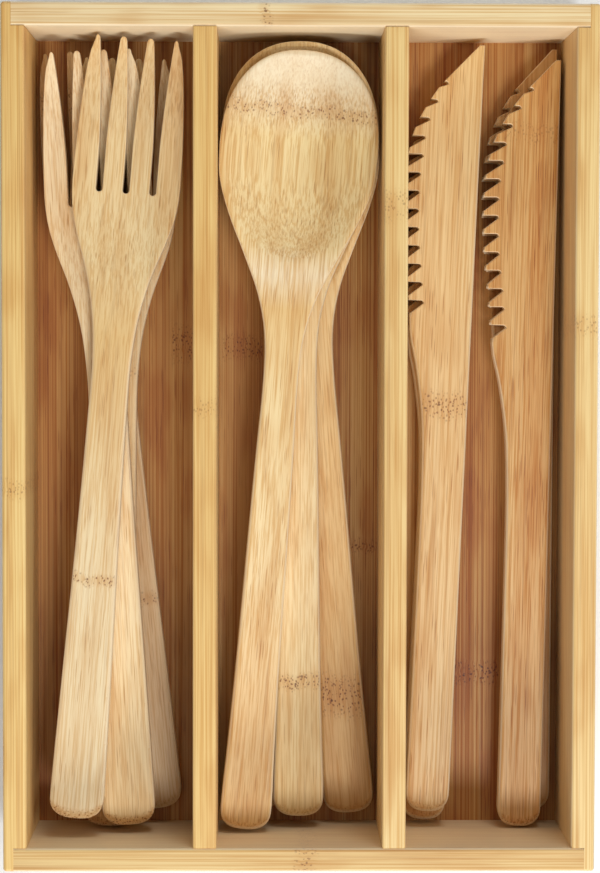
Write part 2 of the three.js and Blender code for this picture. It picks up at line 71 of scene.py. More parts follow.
print("nodes:", len(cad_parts), "size in mm:", [round(v / MM, 1) for v in cad_high - cad_low])

# %% [markdown]
# ## The view
# The photograph looks straight down on the tray from about 0.65 m, a little off its middle. The
# camera's place and its small tilts were worked out from the corners of the rim and of the
# floor, whose real sizes are known from the CAD model. A long lens is right here: the walls'
# inner faces show only as narrow strips.

# %% Set the camera
FOCAL_PIXELS = 2450.2
IMAGE_HEIGHT_PIXELS = 873
SENSOR_MM = 36.0

camera_data = bpy.data.cameras.new("camera")
camera_data.sensor_width = SENSOR_MM
camera_data.lens = FOCAL_PIXELS * SENSOR_MM / IMAGE_HEIGHT_PIXELS
camera_data.clip_start = 0.01
camera = bpy.data.objects.new("camera", camera_data)
camera.location = (-0.0085, 0.03073, 0.65545)
camera.rotation_euler = (-0.0482, -0.01363, 0.00236)
bpy.context.scene.collection.objects.link(camera)
bpy.context.scene.camera = camera
bpy.context.scene.view_settings.view_transform = "Standard"
print("lens in mm:", round(camera_data.lens, 1))

# %% [markdown]
# ## Floor and light
# The pack is shown on a pale surface in soft studio light. The compartments are deep and narrow,
# so the main lamp hangs high and reaches their floors. It stands towards the foot, because the
# photograph is darkest behind the bowl of the top spoon. Right-hand edges of the cutlery are
# bright, so a weaker lamp stands on the right. Low ones at both ends light the insides of the end
# walls. A dim world fills the rest, and only the camera and reflections see it pale. Together
# they light a level surface so that a colour renders about as it is written.

# %% Make the floor
FLOOR_WIDTH = 3.0

floor_material = bpy.data.materials.new("pale_floor")
floor_material.use_nodes = True
floor_shader = floor_material.node_tree.nodes["Principled BSDF"]
floor_shader.inputs["Base Color"].default_value = (0.9, 0.9, 0.89, 1.0)
floor_shader.inputs["Roughness"].default_value = 0.8

bm = bmesh.new()
bmesh.ops.create_grid(bm, x_segments=1, y_segments=1, size=FLOOR_WIDTH / 2)
floor_mesh = bpy.data.meshes.new("studio_floor")
bm.to_mesh(floor_mesh)
bm.free()
floor_mesh.materials.append(floor_material)
studio_floor = bpy.data.objects.new("studio_floor", floor_mesh)
bpy.context.scene.collection.objects.link(studio_floor)
print("floor:", FLOOR_WIDTH, "m wide")

# %% Hang the lamps
LAMPS = {
    "main_lamp": dict(place=(0.25, -0.5, 1.1), size=0.3, watts=5.7),
    "side_lamp": dict(place=(0.95, 0.1, 0.9), size=0.4, watts=3.2),
    "foot_lamp": dict(place=(-0.1, -1.15, 0.55), size=0.4, watts=8.0),
    "head_lamp": dict(place=(0.2, 1.2, 0.6), size=0.4, watts=3.4),
}


def add_lamp(name, place, size, watts):
    """A soft round lamp that points at the tray."""
    data = bpy.data.lights.new(name, "AREA")
    data.shape = "DISK"
    data.size = size
    data.energy = watts
    lamp = bpy.data.objects.new(name, data)
    lamp.location = place
    lamp.rotation_euler = (-lamp.location).to_track_quat("-Z", "Y").to_euler()
    bpy.context.scene.collection.objects.link(lamp)
    print(name, "is", round(lamp.location.length, 2), "m away")


for name, lamp in LAMPS.items():
    add_lamp(name, **lamp)

# %% Light the world
WORLD_STRENGTH = 0.24
BACKDROP_STRENGTH = 0.9

world = bpy.data.worlds.new("studio")
world.use_nodes = True
world_tree = world.node_tree
backdrop = world_tree.nodes["Background"]
backdrop.inputs["Color"].default_value = (0.95, 0.98, 1.0, 1.0)
light_path = world_tree.nodes.new("ShaderNodeLightPath")
strength = world_tree.nodes.new("ShaderNodeMapRange")
strength.inputs["To Min"].default_value = WORLD_STRENGTH
strength.inputs["To Max"].default_value = BACKDROP_STRENGTH
seen = light_path.outputs["Is Camera Ray"]
for kind in ("Is Glossy Ray", "Is Transmission Ray"):
    either = world_tree.nodes.new("ShaderNodeMath")
    either.operation = "MAXIMUM"
    world_tree.links.new(seen, either.inputs[0])
    world_tree.links.new(light_path.outputs[kind], either.inputs[1])
    seen = either.outputs[0]
world_tree.links.new(seen, strength.inputs["Value"])
world_tree.links.new(strength.outputs["Result"], backdrop.inputs["Strength"])
bpy.context.scene.world = world
print("world strength:", WORLD_STRENGTH, "and as a backdrop:", BACKDROP_STRENGTH)

# %% [markdown]
# ## Bamboo
# Bamboo is a bundle of fibres that run along each piece. Where a surface runs along them they
# show as fine streaks, and where it cuts across them, at a handle's end or in a bowl, as dots.
# Every hand's breadth or so the stem had a node: a narrow band of specks and dark pinholes. One
# way to draw this is a picture wrapped round each piece. A solid texture is better here: it is
# defined in the whole volume of the wood, so the same rule gives streaks and dots by itself.
# Each point of a piece carries its place in the board it was cut from, in millimetres, with Y
# along the fibres. It is kept as an attribute named "grain".

# %% Helpers for node trees
GRAIN = "grain"
SIDE = "side"


def paint(code):
    """A web colour such as "#E6CB97" as the linear colour that a shader wants."""
    shares = [int(code[i:i + 2], 16) / 255 for i in (1, 3, 5)]
    linear = [v / 12.92 if v <= 0.04045 else ((v + 0.055) / 1.055) ** 2.4 for v in shares]
    return (*linear, 1.0)


def add_node(tree, kind, inputs, **settings):
    """Adds a node. Each input is a number, a colour or another node's output."""
    node = tree.nodes.new(kind)
    for key, value in settings.items():
        setattr(node, key, value)
    for key, value in inputs.items():
        if isinstance(value, bpy.types.NodeSocket):
            tree.links.new(value, node.inputs[key])
        else:
            node.inputs[key].default_value = value
    return node


def calc(tree, operation, a, b=0.0):
    """One step of arithmetic on two numbers or outputs."""
    return add_node(tree, "ShaderNodeMath", {0: a, 1: b}, operation=operation).outputs[0]


def ramp(tree, value, low, high, to_low=0.0, to_high=1.0):
    """Maps a stretch of values onto another, smoothly, and stays at its ends outside it."""
    places = {"Value": value, "From Min": low, "From Max": high, "To Min": to_low, "To Max": to_high}
    node = add_node(tree, "ShaderNodeMapRange", places, interpolation_type="SMOOTHSTEP")
    return node.outputs["Result"]


MIX_FACTOR, MIX_A, MIX_B, MIX_RESULT = 0, 6, 7, 2


def shade(tree, color, factor, code):
    """Multiplies a colour by the web colour, as far as factor says."""
    inputs = {MIX_FACTOR: factor, MIX_A: color, MIX_B: paint(code)}
    node = add_node(tree, "ShaderNodeMix", inputs, data_type="RGBA", blend_type="MULTIPLY")
    return node.outputs[MIX_RESULT]


print("the grain is kept as the attribute", GRAIN)

# %% [markdown]
# A noise whose cells are very long and very thin gives the fibres. A Voronoi texture scatters
# spots at a steady distance from each other, as a bamboo stem does with the bundles that carried
# its sap. Every pattern is read from the grain coordinates, moved on by the piece's own seed.

# %% Patterns in the grain
LONG = 400.0


def scaled(tree, grain, across, along, seed):
    """Grain in cells of across x along x across mm, moved on so that no two seeds look alike."""
    inputs = {
        "Vector": grain,
        "Location": (seed * 7.31, seed * 3.17, seed * 5.73),
        "Scale": (1 / across, 1 / along, 1 / across),
    }
    return add_node(tree, "ShaderNodeMapping", inputs).outputs["Vector"]


def noise(tree, vector, detail, roughness=0.6):
    """A soft pattern from 0 to 1, mostly near a half."""
    inputs = {"Vector": vector, "Scale": 1.0, "Detail": detail, "Roughness": roughness}
    return add_node(tree, "ShaderNodeTexNoise", inputs).outputs["Fac"]


def spots(tree, vector, radius):
    """1 at the middle of scattered spots, 0 outside them."""
    node = add_node(tree, "ShaderNodeTexVoronoi", {"Vector": vector, "Scale": 1.0})
    return ramp(tree, node.outputs["Distance"], radius, radius * 0.5)


def tone_colors(tree, share, tones):
    """Colours along a piece. The tones run from share 0 to share 1."""
    node = add_node(tree, "ShaderNodeValToRGB", {"Fac": share})
    elements = node.color_ramp.elements
    for where, _ in tones[1:-1]:
        elements.new(where)
    for element, (_, code) in zip(elements, tones):
        element.color = paint(code)
    return node.outputs["Color"]


print("patterns", LONG, "mm long look endless on this tray")

# %% [markdown]
# Streaks of several sizes are laid over each other: hair-fine fibres, wider veins, short clouds,
# the slow change of tone across a board, and bundles that break off after a while. Each one only
# multiplies the colour made so far, as a stain would.

# %% Streaks
STREAK = "#DCB676"
DEEP_STREAK = "#BC9258"
BUNDLE = "#C0934F"
FIBRE_WIDTH = 0.4
VEIN_WIDTH = FIBRE_WIDTH * 2.2
BUNDLE_WIDTH, BUNDLE_LENGTH = 0.55, 13.0
TONE_WIDTH, TONE_LENGTH = 4.5, 130.0
CLOUD_WIDTH, CLOUD_LENGTH = 6.0, 24.0


def add_streaks(tree, color, grain, seed, streaks, bundles, fibre_length, shown):
    """Lays fibres and bundles over a colour, as far as shown says. Also gives the fibres alone."""
    def lay(color, value, low, high, strength, code):
        factor = calc(tree, "MULTIPLY", ramp(tree, value, low, high, 0.0, strength), shown)
        return shade(tree, color, factor, code)

    tone = noise(tree, scaled(tree, grain, TONE_WIDTH, TONE_LENGTH, seed), 2.0)
    color = lay(color, tone, 0.35, 0.7, streaks * 0.5, STREAK)
    cloud = noise(tree, scaled(tree, grain, CLOUD_WIDTH, CLOUD_LENGTH, seed + 8), 1.0)
    color = lay(color, cloud, 0.45, 0.72, streaks * 0.6, STREAK)
    fibre = noise(tree, scaled(tree, grain, FIBRE_WIDTH, fibre_length, seed), 3.0, 0.65)
    color = lay(color, fibre, 0.42, 0.64, streaks, STREAK)
    vein = noise(tree, scaled(tree, grain, VEIN_WIDTH, fibre_length * 1.4, seed + 6), 2.0)
    color = lay(color, vein, 0.55, 0.68, streaks * 0.45, DEEP_STREAK)
    bundle = spots(tree, scaled(tree, grain, BUNDLE_WIDTH, BUNDLE_LENGTH, seed + 1), 0.32)
    patchy = calc(tree, "MULTIPLY", bundle, ramp(tree, cloud, 0.35, 0.6, 0.35, 1.0))
    return lay(color, patchy, 0.0, 1.0, bundles, BUNDLE), fibre


print("fibres are", FIBRE_WIDTH, "mm wide, bundles", BUNDLE_WIDTH, "mm apart")

# %% [markdown]
# At a node of the stem the fibres swerve round specks and pinholes. So the grain is pushed
# sideways there before the streaks are read from it, and the specks are laid over them.

# %% Nodes of the stem
SPECK = "#94652F"
PINHOLE = "#774A22"
SPECK_SPACING = 0.65
PINHOLE_SPACING = 2.2
BAND_WAVE_WIDTH, BAND_WAVE_HEIGHT = 4.0, 5.0
SWERVE_WIDTH, SWERVE_LENGTH, SWERVE_PUSH = 1.6, 3.0, 1.8


def stem_nodes(tree, grain, place, seed, bands):
    """Up to 1 in the stem's nodes, slightly wavy bands across the fibres, and 0 elsewhere."""
    waves = noise(tree, scaled(tree, grain, BAND_WAVE_WIDTH, LONG, seed + 2), 2.0)
    shift = calc(tree, "MULTIPLY", calc(tree, "SUBTRACT", waves, 0.5), BAND_WAVE_HEIGHT)
    wavy = calc(tree, "ADD", place.outputs["Y"], shift)
    strongest = 0.0
    for where, width, strength, *span in bands:
        off = calc(tree, "ABSOLUTE", calc(tree, "SUBTRACT", wavy, where))
        band = calc(tree, "MULTIPLY", ramp(tree, off, width / 2, width * 0.1), strength)
        if span:
            middle, half = (span[0] + span[1]) / 2, (span[1] - span[0]) / 2
            side = calc(tree, "ABSOLUTE", calc(tree, "SUBTRACT", place.outputs["X"], middle))
            band = calc(tree, "MULTIPLY", band, ramp(tree, side, half + 1.0, half))
        strongest = calc(tree, "MAXIMUM", strongest, band)
    return strongest


def swerved(tree, grain, knots, seed):
    """The grain pushed sideways where the stem's nodes are."""
    swerve = noise(tree, scaled(tree, grain, SWERVE_WIDTH, SWERVE_LENGTH, seed + 5), 1.0)
    swerve = calc(tree, "SUBTRACT", swerve, 0.5)
    push = calc(tree, "MULTIPLY", calc(tree, "MULTIPLY", swerve, knots), SWERVE_PUSH)
    offset = add_node(tree, "ShaderNodeCombineXYZ", {"X": push}).outputs[0]
    return add_node(tree, "ShaderNodeVectorMath", {0: grain, 1: offset}).outputs[0]


def add_specks(tree, color, grain, knots, seed):
    """Specks and dark pinholes in the stem's nodes."""
    specks = spots(tree, scaled(tree, grain, SPECK_SPACING, SPECK_SPACING * 1.5, seed + 3), 0.4)
    pinholes = spots(tree, scaled(tree, grain, PINHOLE_SPACING, PINHOLE_SPACING, seed + 4), 0.2)
    color = shade(tree, color, calc(tree, "MULTIPLY", knots, 0.35), STREAK)
    color = shade(tree, color, calc(tree, "MULTIPLY", knots, specks), SPECK)
    return shade(tree, color, calc(tree, "MULTIPLY", knots, pinholes), PINHOLE)


print("pinholes are", PINHOLE_SPACING, "mm apart")

# %% [markdown]
# A board is glued up from strips, each of its own tone. Upright faces and rounded edges get
# painted light and painted highlight: they are made paler than the broad faces. At a handle's
# end the fibres are cut across and show their pores.

# %% Strips, painted light on sides, and cut ends
# Painted highlight: the pale colour that sides and rounded edges are mixed towards.
PAINTED_EDGE_LIGHT = "#F6E6C6"
PORE_SPACING = 0.75
END_DEPTH = 3.0
END_BOW = 2.2


def add_strips(tree, color, across, seed, strength, width):
    """Gives each strip of a board its own tone."""
    shifted = calc(tree, "ADD", across, LONG)
    strip = calc(tree, "FLOOR", calc(tree, "DIVIDE", shifted, width))
    chance = add_node(tree, "ShaderNodeTexWhiteNoise", {"W": calc(tree, "ADD", strip, float(seed))},
                      noise_dimensions="1D").outputs["Value"]
    return shade(tree, color, calc(tree, "MULTIPLY", chance, strength), STREAK)


def add_painted_side_light(tree, color, strength):
    """Paints light: makes a colour paler where the surface turns away from the top, a painted highlight
    on rounded edges and painted light on upright faces.
    """
    side = add_node(tree, "ShaderNodeAttribute", {}, attribute_name=SIDE).outputs["Fac"]
    paler = ramp(tree, side, 0.08, 0.4, 0.0, strength)
    inputs = {MIX_FACTOR: paler, MIX_A: color, MIX_B: paint(PAINTED_EDGE_LIGHT)}
    return add_node(tree, "ShaderNodeMix", inputs, data_type="RGBA").outputs[MIX_RESULT]


def add_pores(tree, color, grain, place, seed, strength, centre, half):
    """Pores at a handle's end, up to a line that bows with the end's outline."""
    reach = calc(tree, "DIVIDE", calc(tree, "SUBTRACT", place.outputs["X"], centre), half)
    bow = calc(tree, "MULTIPLY", calc(tree, "MULTIPLY", reach, reach), END_BOW)
    from_end = calc(tree, "SUBTRACT", place.outputs["Y"], bow)
    near_end = ramp(tree, from_end, END_DEPTH, END_DEPTH * 0.35, 0.0, strength)
    pores = spots(tree, scaled(tree, grain, PORE_SPACING, PORE_SPACING, seed + 7), 0.42)
    color = shade(tree, color, calc(tree, "MULTIPLY", near_end, 0.55), STREAK)
    return shade(tree, color, calc(tree, "MULTIPLY", near_end, pores), DEEP_STREAK)


print("pores show up to", END_DEPTH, "mm from a handle's end")

# %% [markdown]
# The material itself starts from a few colours along the piece and lays the patterns over them.
# The bump is small: the wood was sanded.

# %% The bamboo material
CALM = 0.35
CALM_FADE = 6.0
GLOSSY, DULL = 0.46, 0.6
BUMP_STRENGTH = 0.3
BUMP_HEIGHT = 0.05


def bamboo(name, seed, tones, start=0.0, length=200.0, streaks=0.5, bundles=0.4, fibre_length=30.0,
           bands=(), strips=0.0, strip_width=3.0, end_grain=0.0, end_centre=0.0, end_half=6.8,
           painted_side_light=0.7, calm_from=None):
    """tones are colours along the fibres, each (share of the length, web colour). bands are the
    stem's nodes, each (place in mm, width in mm, strength), and two places across if it is short.
    From calm_from on, in mm along the fibres, the wood shows hardly any streaks."""
    material = bpy.data.materials.new(name)
    material.use_nodes = True
    tree = material.node_tree
    shader = tree.nodes["Principled BSDF"]
    grain = add_node(tree, "ShaderNodeAttribute", {}, attribute_name=GRAIN).outputs["Vector"]
    place = add_node(tree, "ShaderNodeSeparateXYZ", {0: grain})
    along = place.outputs["Y"]
    share = calc(tree, "DIVIDE", calc(tree, "SUBTRACT", along, start), length)
    color = tone_colors(tree, share, tones)
    if bands:
        knots = stem_nodes(tree, grain, place, seed, bands)
        grain = swerved(tree, grain, knots, seed)
    if strips:
        color = add_strips(tree, color, place.outputs["X"], seed, strips, strip_width)
    shown = ramp(tree, along, calm_from, calm_from + CALM_FADE, 1.0, CALM) if calm_from else 1.0
    color, fibre = add_streaks(tree, color, grain, seed, streaks, bundles, fibre_length, shown)
    if bands:
        color = add_specks(tree, color, grain, knots, seed)
    # Painted light: sides and rounded edges are made paler, a painted highlight on the cutlery's edges.
    if painted_side_light:
        color = add_painted_side_light(tree, color, painted_side_light)
    if end_grain:
        color = add_pores(tree, color, grain, place, seed, end_grain, end_centre, end_half)
    tree.links.new(color, shader.inputs["Base Color"])
    tree.links.new(ramp(tree, fibre, 0.3, 0.7, GLOSSY, DULL), shader.inputs["Roughness"])
    inputs = {"Height": fibre, "Strength": BUMP_STRENGTH, "Distance": BUMP_HEIGHT * MM}
    bump = add_node(tree, "ShaderNodeBump", inputs)
    tree.links.new(bump.outputs["Normal"], shader.inputs["Normal"])
    return material


print("the bump is", BUMP_HEIGHT, "mm high at most")

# %% [markdown]
# ## Helpers for pieces
# A piece is modelled in its own frame in millimetres, because its sizes are easier to read that
# way. Its mesh is then turned to metres, every point is given its grain coordinates, and the
# mesh, not the object, is moved to its place. Rounded edges and upright faces get painted light,
# a paler colour, so every point also gets a number that says how far its surface turns away
# from the top. A Weighted Normal modifier makes broad faces shade flat and lets only the rounded
# edges catch the light.

# %% Helpers that turn a bmesh into a finished piece
def points_of(mesh):
    """All points of a mesh as an array with a row for each."""
    places = np.empty(len(mesh.vertices) * 3, np.float32)
    mesh.vertices.foreach_get("co", places)
    return places.reshape(-1, 3)


def as_mesh(bm, name, fibres="Y"):
    """A mesh in metres from a bmesh in millimetres, with smooth faces and grain coordinates."""
    bmesh.ops.recalc_face_normals(bm, faces=bm.faces[:])
    if bm.calc_volume(signed=True) < 0:
        bmesh.ops.reverse_faces(bm, faces=bm.faces[:])
    mesh = bpy.data.meshes.new(name)
    bm.to_mesh(mesh)
    bm.free()
    mesh.polygons.foreach_set("use_smooth", [True] * len(mesh.polygons))
    places = points_of(mesh)
    if fibres == "X":
        places = places[:, [1, 0, 2]]
    mesh.attributes.new(GRAIN, "FLOAT_VECTOR", "POINT").data.foreach_set("vector", places.ravel())
    normals = np.empty(len(mesh.vertices) * 3, np.float32)
    mesh.vertex_normals.foreach_get("vector", normals)
    mesh.attributes.new(SIDE, "FLOAT", "POINT").data.foreach_set("value", 1 - np.abs(normals[2::3]))
    mesh.transform(Matrix.Scale(MM, 4))
    return mesh


def add_piece(mesh, node, material):
    """The finished piece: it stands for its CAD node and rides on the one body."""
    piece = bpy.data.objects.new(node + "_finished", mesh)
    bpy.context.scene.collection.objects.link(piece)
    mesh.materials.append(material)
    normals = piece.modifiers.new("normals", "WEIGHTED_NORMAL")
    normals.mode = "FACE_AREA"
    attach(piece, "root")
    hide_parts(node)
    print(piece.name, "has", len(mesh.polygons), "faces")


def round_edges(bm, radius_of, segments):
    """Rounds each edge by its own radius in mm. The Bevel modifier takes radii as edge weights."""
    weight = bm.edges.layers.float.new("bevel_weight_edge")
    radii = [radius_of(edge) for edge in bm.edges]
    largest = max(radii)
    for edge, radius in zip(bm.edges, radii):
        edge[weight] = radius / largest
    mesh = bpy.data.meshes.new("blank")
    bm.to_mesh(mesh)
    bm.free()
    blank = bpy.data.objects.new("blank", mesh)
    bpy.context.scene.collection.objects.link(blank)
    bevel = blank.modifiers.new("edges", "BEVEL")
    bevel.width = largest
    bevel.segments = segments
    bevel.limit_method = "WEIGHT"
    bevel.use_clamp_overlap = False
    rounded = bmesh.new()
    rounded.from_object(blank, bpy.context.evaluated_depsgraph_get())
    bpy.data.objects.remove(blank)
    return rounded


print("helpers: as_mesh, add_piece, round_edges")

# %% [markdown]
# ## The tray
# The walls, the dividers and the floor are boards. A wall is easiest to make as its cross
# section, groove and all, pulled out along its length. The side walls' outer skin reaches past
# that section and covers the end walls' ends. The rim's long edges are clearly rounded, and the
# edges of a glued joint are only eased, so that the joint shows as a thin line.

# %% Sizes of the tray, in mm
GROOVE_DEPTH = 3.3
CORNER_SKIN = 2.6
RIM_ROUNDING = 0.8
DIVIDER_ROUNDING = 0.55
JOINT_EASING = 0.12
TOUCH = 0.01

rim = cad_high / MM
floor_low, floor_high = (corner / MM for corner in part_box("floor_panel"))
INNER_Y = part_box("divider_1")[1].y / MM
WALL = rim.y - INNER_Y
INNER_X = rim.x - WALL
print("walls are", round(WALL, 1), "mm thick and", round(rim.z, 1), "mm high")


# %% Helpers for boards
def draw_face(bm, points):
    """One flat face: a vertex is extruded from point to point, and the closed line is filled."""
    first = last = bm.verts.new(points[0])
    for point in points[1:]:
        last = bmesh.ops.extrude_vert_indiv(bm, verts=[last])["verts"][0]
        last.co = point
    bm.edges.new((last, first))
    return bmesh.ops.contextual_create(bm, geom=bm.edges[:])["faces"][0]


def pull(bm, faces, offset):
    """Extrudes faces by an offset."""
    grown = bmesh.ops.extrude_face_region(bm, geom=faces)["geom"]
    moved = [item for item in grown if isinstance(item, bmesh.types.BMVert)]
    bmesh.ops.translate(bm, verts=moved, vec=offset)
    bmesh.ops.recalc_face_normals(bm, faces=bm.faces[:])


def wall_rounding(axis, inner):
    """Radii for a wall that faces along an axis: the rim's long edges are rounder than joints."""
    def radius_of(edge):
        if not edge.is_convex or edge.calc_face_angle(0.0) < 0.1:
            return 0.0
        a, b = (vert.co for vert in edge.verts)
        middle = (a + b) / 2
        if min(a.z, b.z) > TOUCH and max(a.z, b.z) < floor_high.z + TOUCH:
            return 0.0
        on_top = min(a.z, b.z) > rim.z - TOUCH
        out_x, out_y = abs(middle.x) > rim.x - TOUCH, abs(middle.y) > rim.y - TOUCH
        inside = abs(abs(middle[axis]) - inner) < TOUCH
        upright = abs(a.z - b.z) > rim.z / 2
        if on_top and (out_x or out_y or inside) or upright and out_x and out_y:
            return RIM_ROUNDING
        return JOINT_EASING

    return radius_of


print("the rim is rounded by", RIM_ROUNDING, "mm, joints by", JOINT_EASING, "mm")

# %% The bamboo of each board
BOARD_TONES = [(0.0, "#F2D494"), (0.3, "#F0CE8B"), (0.7, "#F3D594"), (1.0, "#EFCD88")]
AMBER_TONES = [(0.0, "#F0CC82"), (0.5, "#F2D088"), (1.0, "#EDC67B")]
PALE_TONES = [(0.0, "#F7E1B2"), (1.0, "#F5DDA9")]
FOOT_TONES = [(0.0, "#EACD90"), (1.0, "#E7C686")]
# The last number of each board paints light on its upright faces, most on the end walls' inner faces.
BOARD_WOODS = {
    "wall_left": dict(seed=11, bands=[(-12.0, 7.0, 0.5)], tones=AMBER_TONES, painted_side_light=0.1),
    "wall_right": dict(seed=12, bands=[(29.0, 8.0, 0.45)], tones=BOARD_TONES, painted_side_light=0.3),
    "wall_head": dict(seed=13, bands=[(-9.0, 4.0, 0.7)], tones=PALE_TONES, painted_side_light=0.7),
    "wall_foot": dict(seed=14, bands=[(2.0, 8.0, 0.6)], tones=FOOT_TONES, painted_side_light=0.6),
    "divider_1": dict(seed=15, bands=[(8.3, 7.0, 0.4)], tones=AMBER_TONES, painted_side_light=0.15),
    "divider_2": dict(seed=16, bands=[(59.0, 11.0, 0.4)], tones=BOARD_TONES, painted_side_light=0.15),
}


def add_board(node, bm, rounding, fibres):
    """A finished board of the tray. The fibres run along X or along Y."""
    wood = bamboo(node + "_bamboo", start=-rim.y, length=2 * rim.y, streaks=0.6, bundles=0.12,
                  fibre_length=75.0, **BOARD_WOODS[node])
    add_piece(as_mesh(round_edges(bm, rounding, 3), node, fibres), node, wood)


print("boards:", list(BOARD_WOODS))


# %% Make the walls
def wall_section(inner):
    """Cross section of a wall as (outward, up) points: flat outside, grooved inside."""
    groove = inner + GROOVE_DEPTH
    return [
        (inner, 0.0), (inner + WALL, 0.0), (inner + WALL, rim.z), (inner, rim.z),
        (inner, floor_high.z), (groove, floor_high.z), (groove, floor_low.z), (inner, floor_low.z),
    ]


def side_wall(side):
    """A wall along the compartments, with the skin that covers the end walls' ends."""
    bm = bmesh.new()
    points = [(side * x, -INNER_Y, z) for x, z in wall_section(INNER_X)]
    pull(bm, [draw_face(bm, points)], (0.0, 2 * INNER_Y, 0.0))
    skin = side * (rim.x - CORNER_SKIN)
    everything = bm.verts[:] + bm.edges[:] + bm.faces[:]
    bmesh.ops.bisect_plane(bm, geom=everything, plane_co=(skin, 0.0, 0.0), plane_no=(1.0, 0.0, 0.0))
    bm.normal_update()
    for end in (-1, 1):
        ends = [face for face in bm.faces
                if face.normal.y * end > 0.9 and abs(face.calc_center_median().x) > abs(skin)]
        pull(bm, ends, (0.0, end * WALL, 0.0))
        bmesh.ops.delete(bm, geom=ends, context="FACES_ONLY")
    return bm


def end_wall(side):
    """A wall across the compartments. It fits between the side walls' skins."""
    bm = bmesh.new()
    reach = rim.x - CORNER_SKIN
    points = [(-reach, side * y, z) for y, z in wall_section(INNER_Y)]
    pull(bm, [draw_face(bm, points)], (2 * reach, 0.0, 0.0))
    return bm


add_board("wall_left", side_wall(-1), wall_rounding(0, INNER_X), "Y")
add_board("wall_right", side_wall(1), wall_rounding(0, INNER_X), "Y")
add_board("wall_head", end_wall(1), wall_rounding(1, INNER_Y), "X")
add_board("wall_foot", end_wall(-1), wall_rounding(1, INNER_Y), "X")


# %% Make the dividers and the floor
def board_from(node):
    """A board of the size and at the place of its CAD twin."""
    low, high = (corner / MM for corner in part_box(node))
    bm = bmesh.new()
    bmesh.ops.create_cube(bm, size=1.0)
    bmesh.ops.scale(bm, verts=bm.verts[:], vec=high - low)
    bmesh.ops.translate(bm, verts=bm.verts[:], vec=(low + high) / 2)
    return bm


def divider_rounding(edge):
    """The two long edges on the rim are rounder than the others."""
    a, b = (vert.co for vert in edge.verts)
    long_rim = min(a.z, b.z) > rim.z - TOUCH and abs(a.x - b.x) < TOUCH
    return DIVIDER_ROUNDING if long_rim else JOINT_EASING


for node in ("divider_1", "divider_2"):
    add_board(node, board_from(node), divider_rounding, "Y")

FLOOR_BANDS = [
    (23.7, 13.0, 0.8, -33.0, -28.5),
    (23.0, 9.0, 0.8, -19.5, -10.0),
    (-29.5, 5.0, 0.8, 13.5, 20.5),
    (-63.9, 9.0, 0.9, 42.0, 53.0),
]
floor_board = round_edges(board_from("floor_panel"), lambda edge: JOINT_EASING, 2)
floor_wood = bamboo("floor_bamboo", 17, [(0.0, "#D3A664"), (1.0, "#D0A566")], streaks=1.0,
                    bundles=0.5, fibre_length=160.0, strips=0.7, strip_width=3.0, bands=FLOOR_BANDS,
                    painted_side_light=0.0)
add_piece(as_mesh(floor_board, "floor_panel"), "floor_panel", floor_wood)

# %% [markdown]
# ## How a piece of cutlery is made
# Real bamboo cutlery is sawn out of a strip as a flat outline, its edges are rounded on a
# cutter, and the head is bent or hollowed. The pieces here are made in the same order. The
# outline is drawn and pulled up to the strip's thickness, its edges are rounded, the blank is
# sliced so that it can bend, and its points are moved up or down to the real top and underside.

# %% Sizes that all cutlery shares, in mm
HANDLE_THICKNESS = 5.5
HANDLE_END_DEPTH = 6.0
HANDLE_END_FULLNESS = 2.7
HANDLE_WIDEST_AT = 8.0
SIDE_ROUNDING = 1.1
END_BAND = 2.6
END_THINNING = 0.42
END_CELL = 1.2
print("a handle's end is rounded over in its last", END_BAND, "mm")


# %% Curves, steps and arcs
def curve_through(*stations):
    """A smooth curve through given stations, each (distance along, value)."""
    at, value = zip(*stations)
    last = len(at) - 1
    slope = []
    for i in range(len(at)):
        before, after = max(i - 1, 0), min(i + 1, last)
        slope.append((value[after] - value[before]) / (at[after] - at[before]))

    def curve(y):
        i = min(max(bisect.bisect_right(at, y) - 1, 0), last - 1)
        span = at[i + 1] - at[i]
        t = min(max((y - at[i]) / span, 0.0), 1.0)
        s = 1 - t
        return (value[i] * s * s * (1 + 2 * t) + value[i + 1] * t * t * (1 + 2 * s)
                + slope[i] * span * t * s * s - slope[i + 1] * span * t * t * s)

    return curve


def steps(start, stop, size):
    """Evenly spaced numbers from start to stop, about size apart."""
    return [float(v) for v in np.linspace(start, stop, max(round(abs(stop - start) / size), 1) + 1)]


def arc(centre, radius_x, radius_y, start, stop, count):
    """Points on an ellipse between two angles in degrees."""
    angles = [math.radians(a) for a in np.linspace(start, stop, count + 1)]
    return [(centre[0] + radius_x * math.cos(a), centre[1] + radius_y * math.sin(a)) for a in angles]


print("half way between stations 0 and 4 mm wide:", curve_through((0, 0.0), (10, 4.0))(5), "mm")


# %% Blanks and cuts
def handle_end(centre, half):
    """Outline of a handle's end, left to right: squarer than half an ellipse."""
    power = 2 / HANDLE_END_FULLNESS
    points = []
    for cosine, sine in arc((0.0, 0.0), 1.0, 1.0, 180, 360, 24):
        across = math.copysign(abs(cosine) ** power, cosine)
        points.append((centre + half * across, HANDLE_END_DEPTH * (1 - abs(sine) ** power)))
    return points


def blank_from(outline, thickness):
    """A flat blank with the outline's shape."""
    bm = bmesh.new()
    pull(bm, [draw_face(bm, [(x, y, 0.0) for x, y in outline])], (0.0, 0.0, thickness))
    return bm


def slice_blank(bm, axis, places, keep=lambda face: True):
    """Cuts faces along planes square to an axis, so that they can bend there."""
    normal = Vector((0.0, 0.0, 0.0))
    normal[axis] = 1.0
    bm.normal_update()
    for place in places:
        faces = [face for face in bm.faces if keep(face)]
        edges = list({edge for face in faces for edge in face.edges})
        verts = list({vert for face in faces for vert in face.verts})
        bmesh.ops.bisect_plane(bm, geom=verts + edges + faces, dist=1e-4, plane_co=normal * place,
                               plane_no=normal)


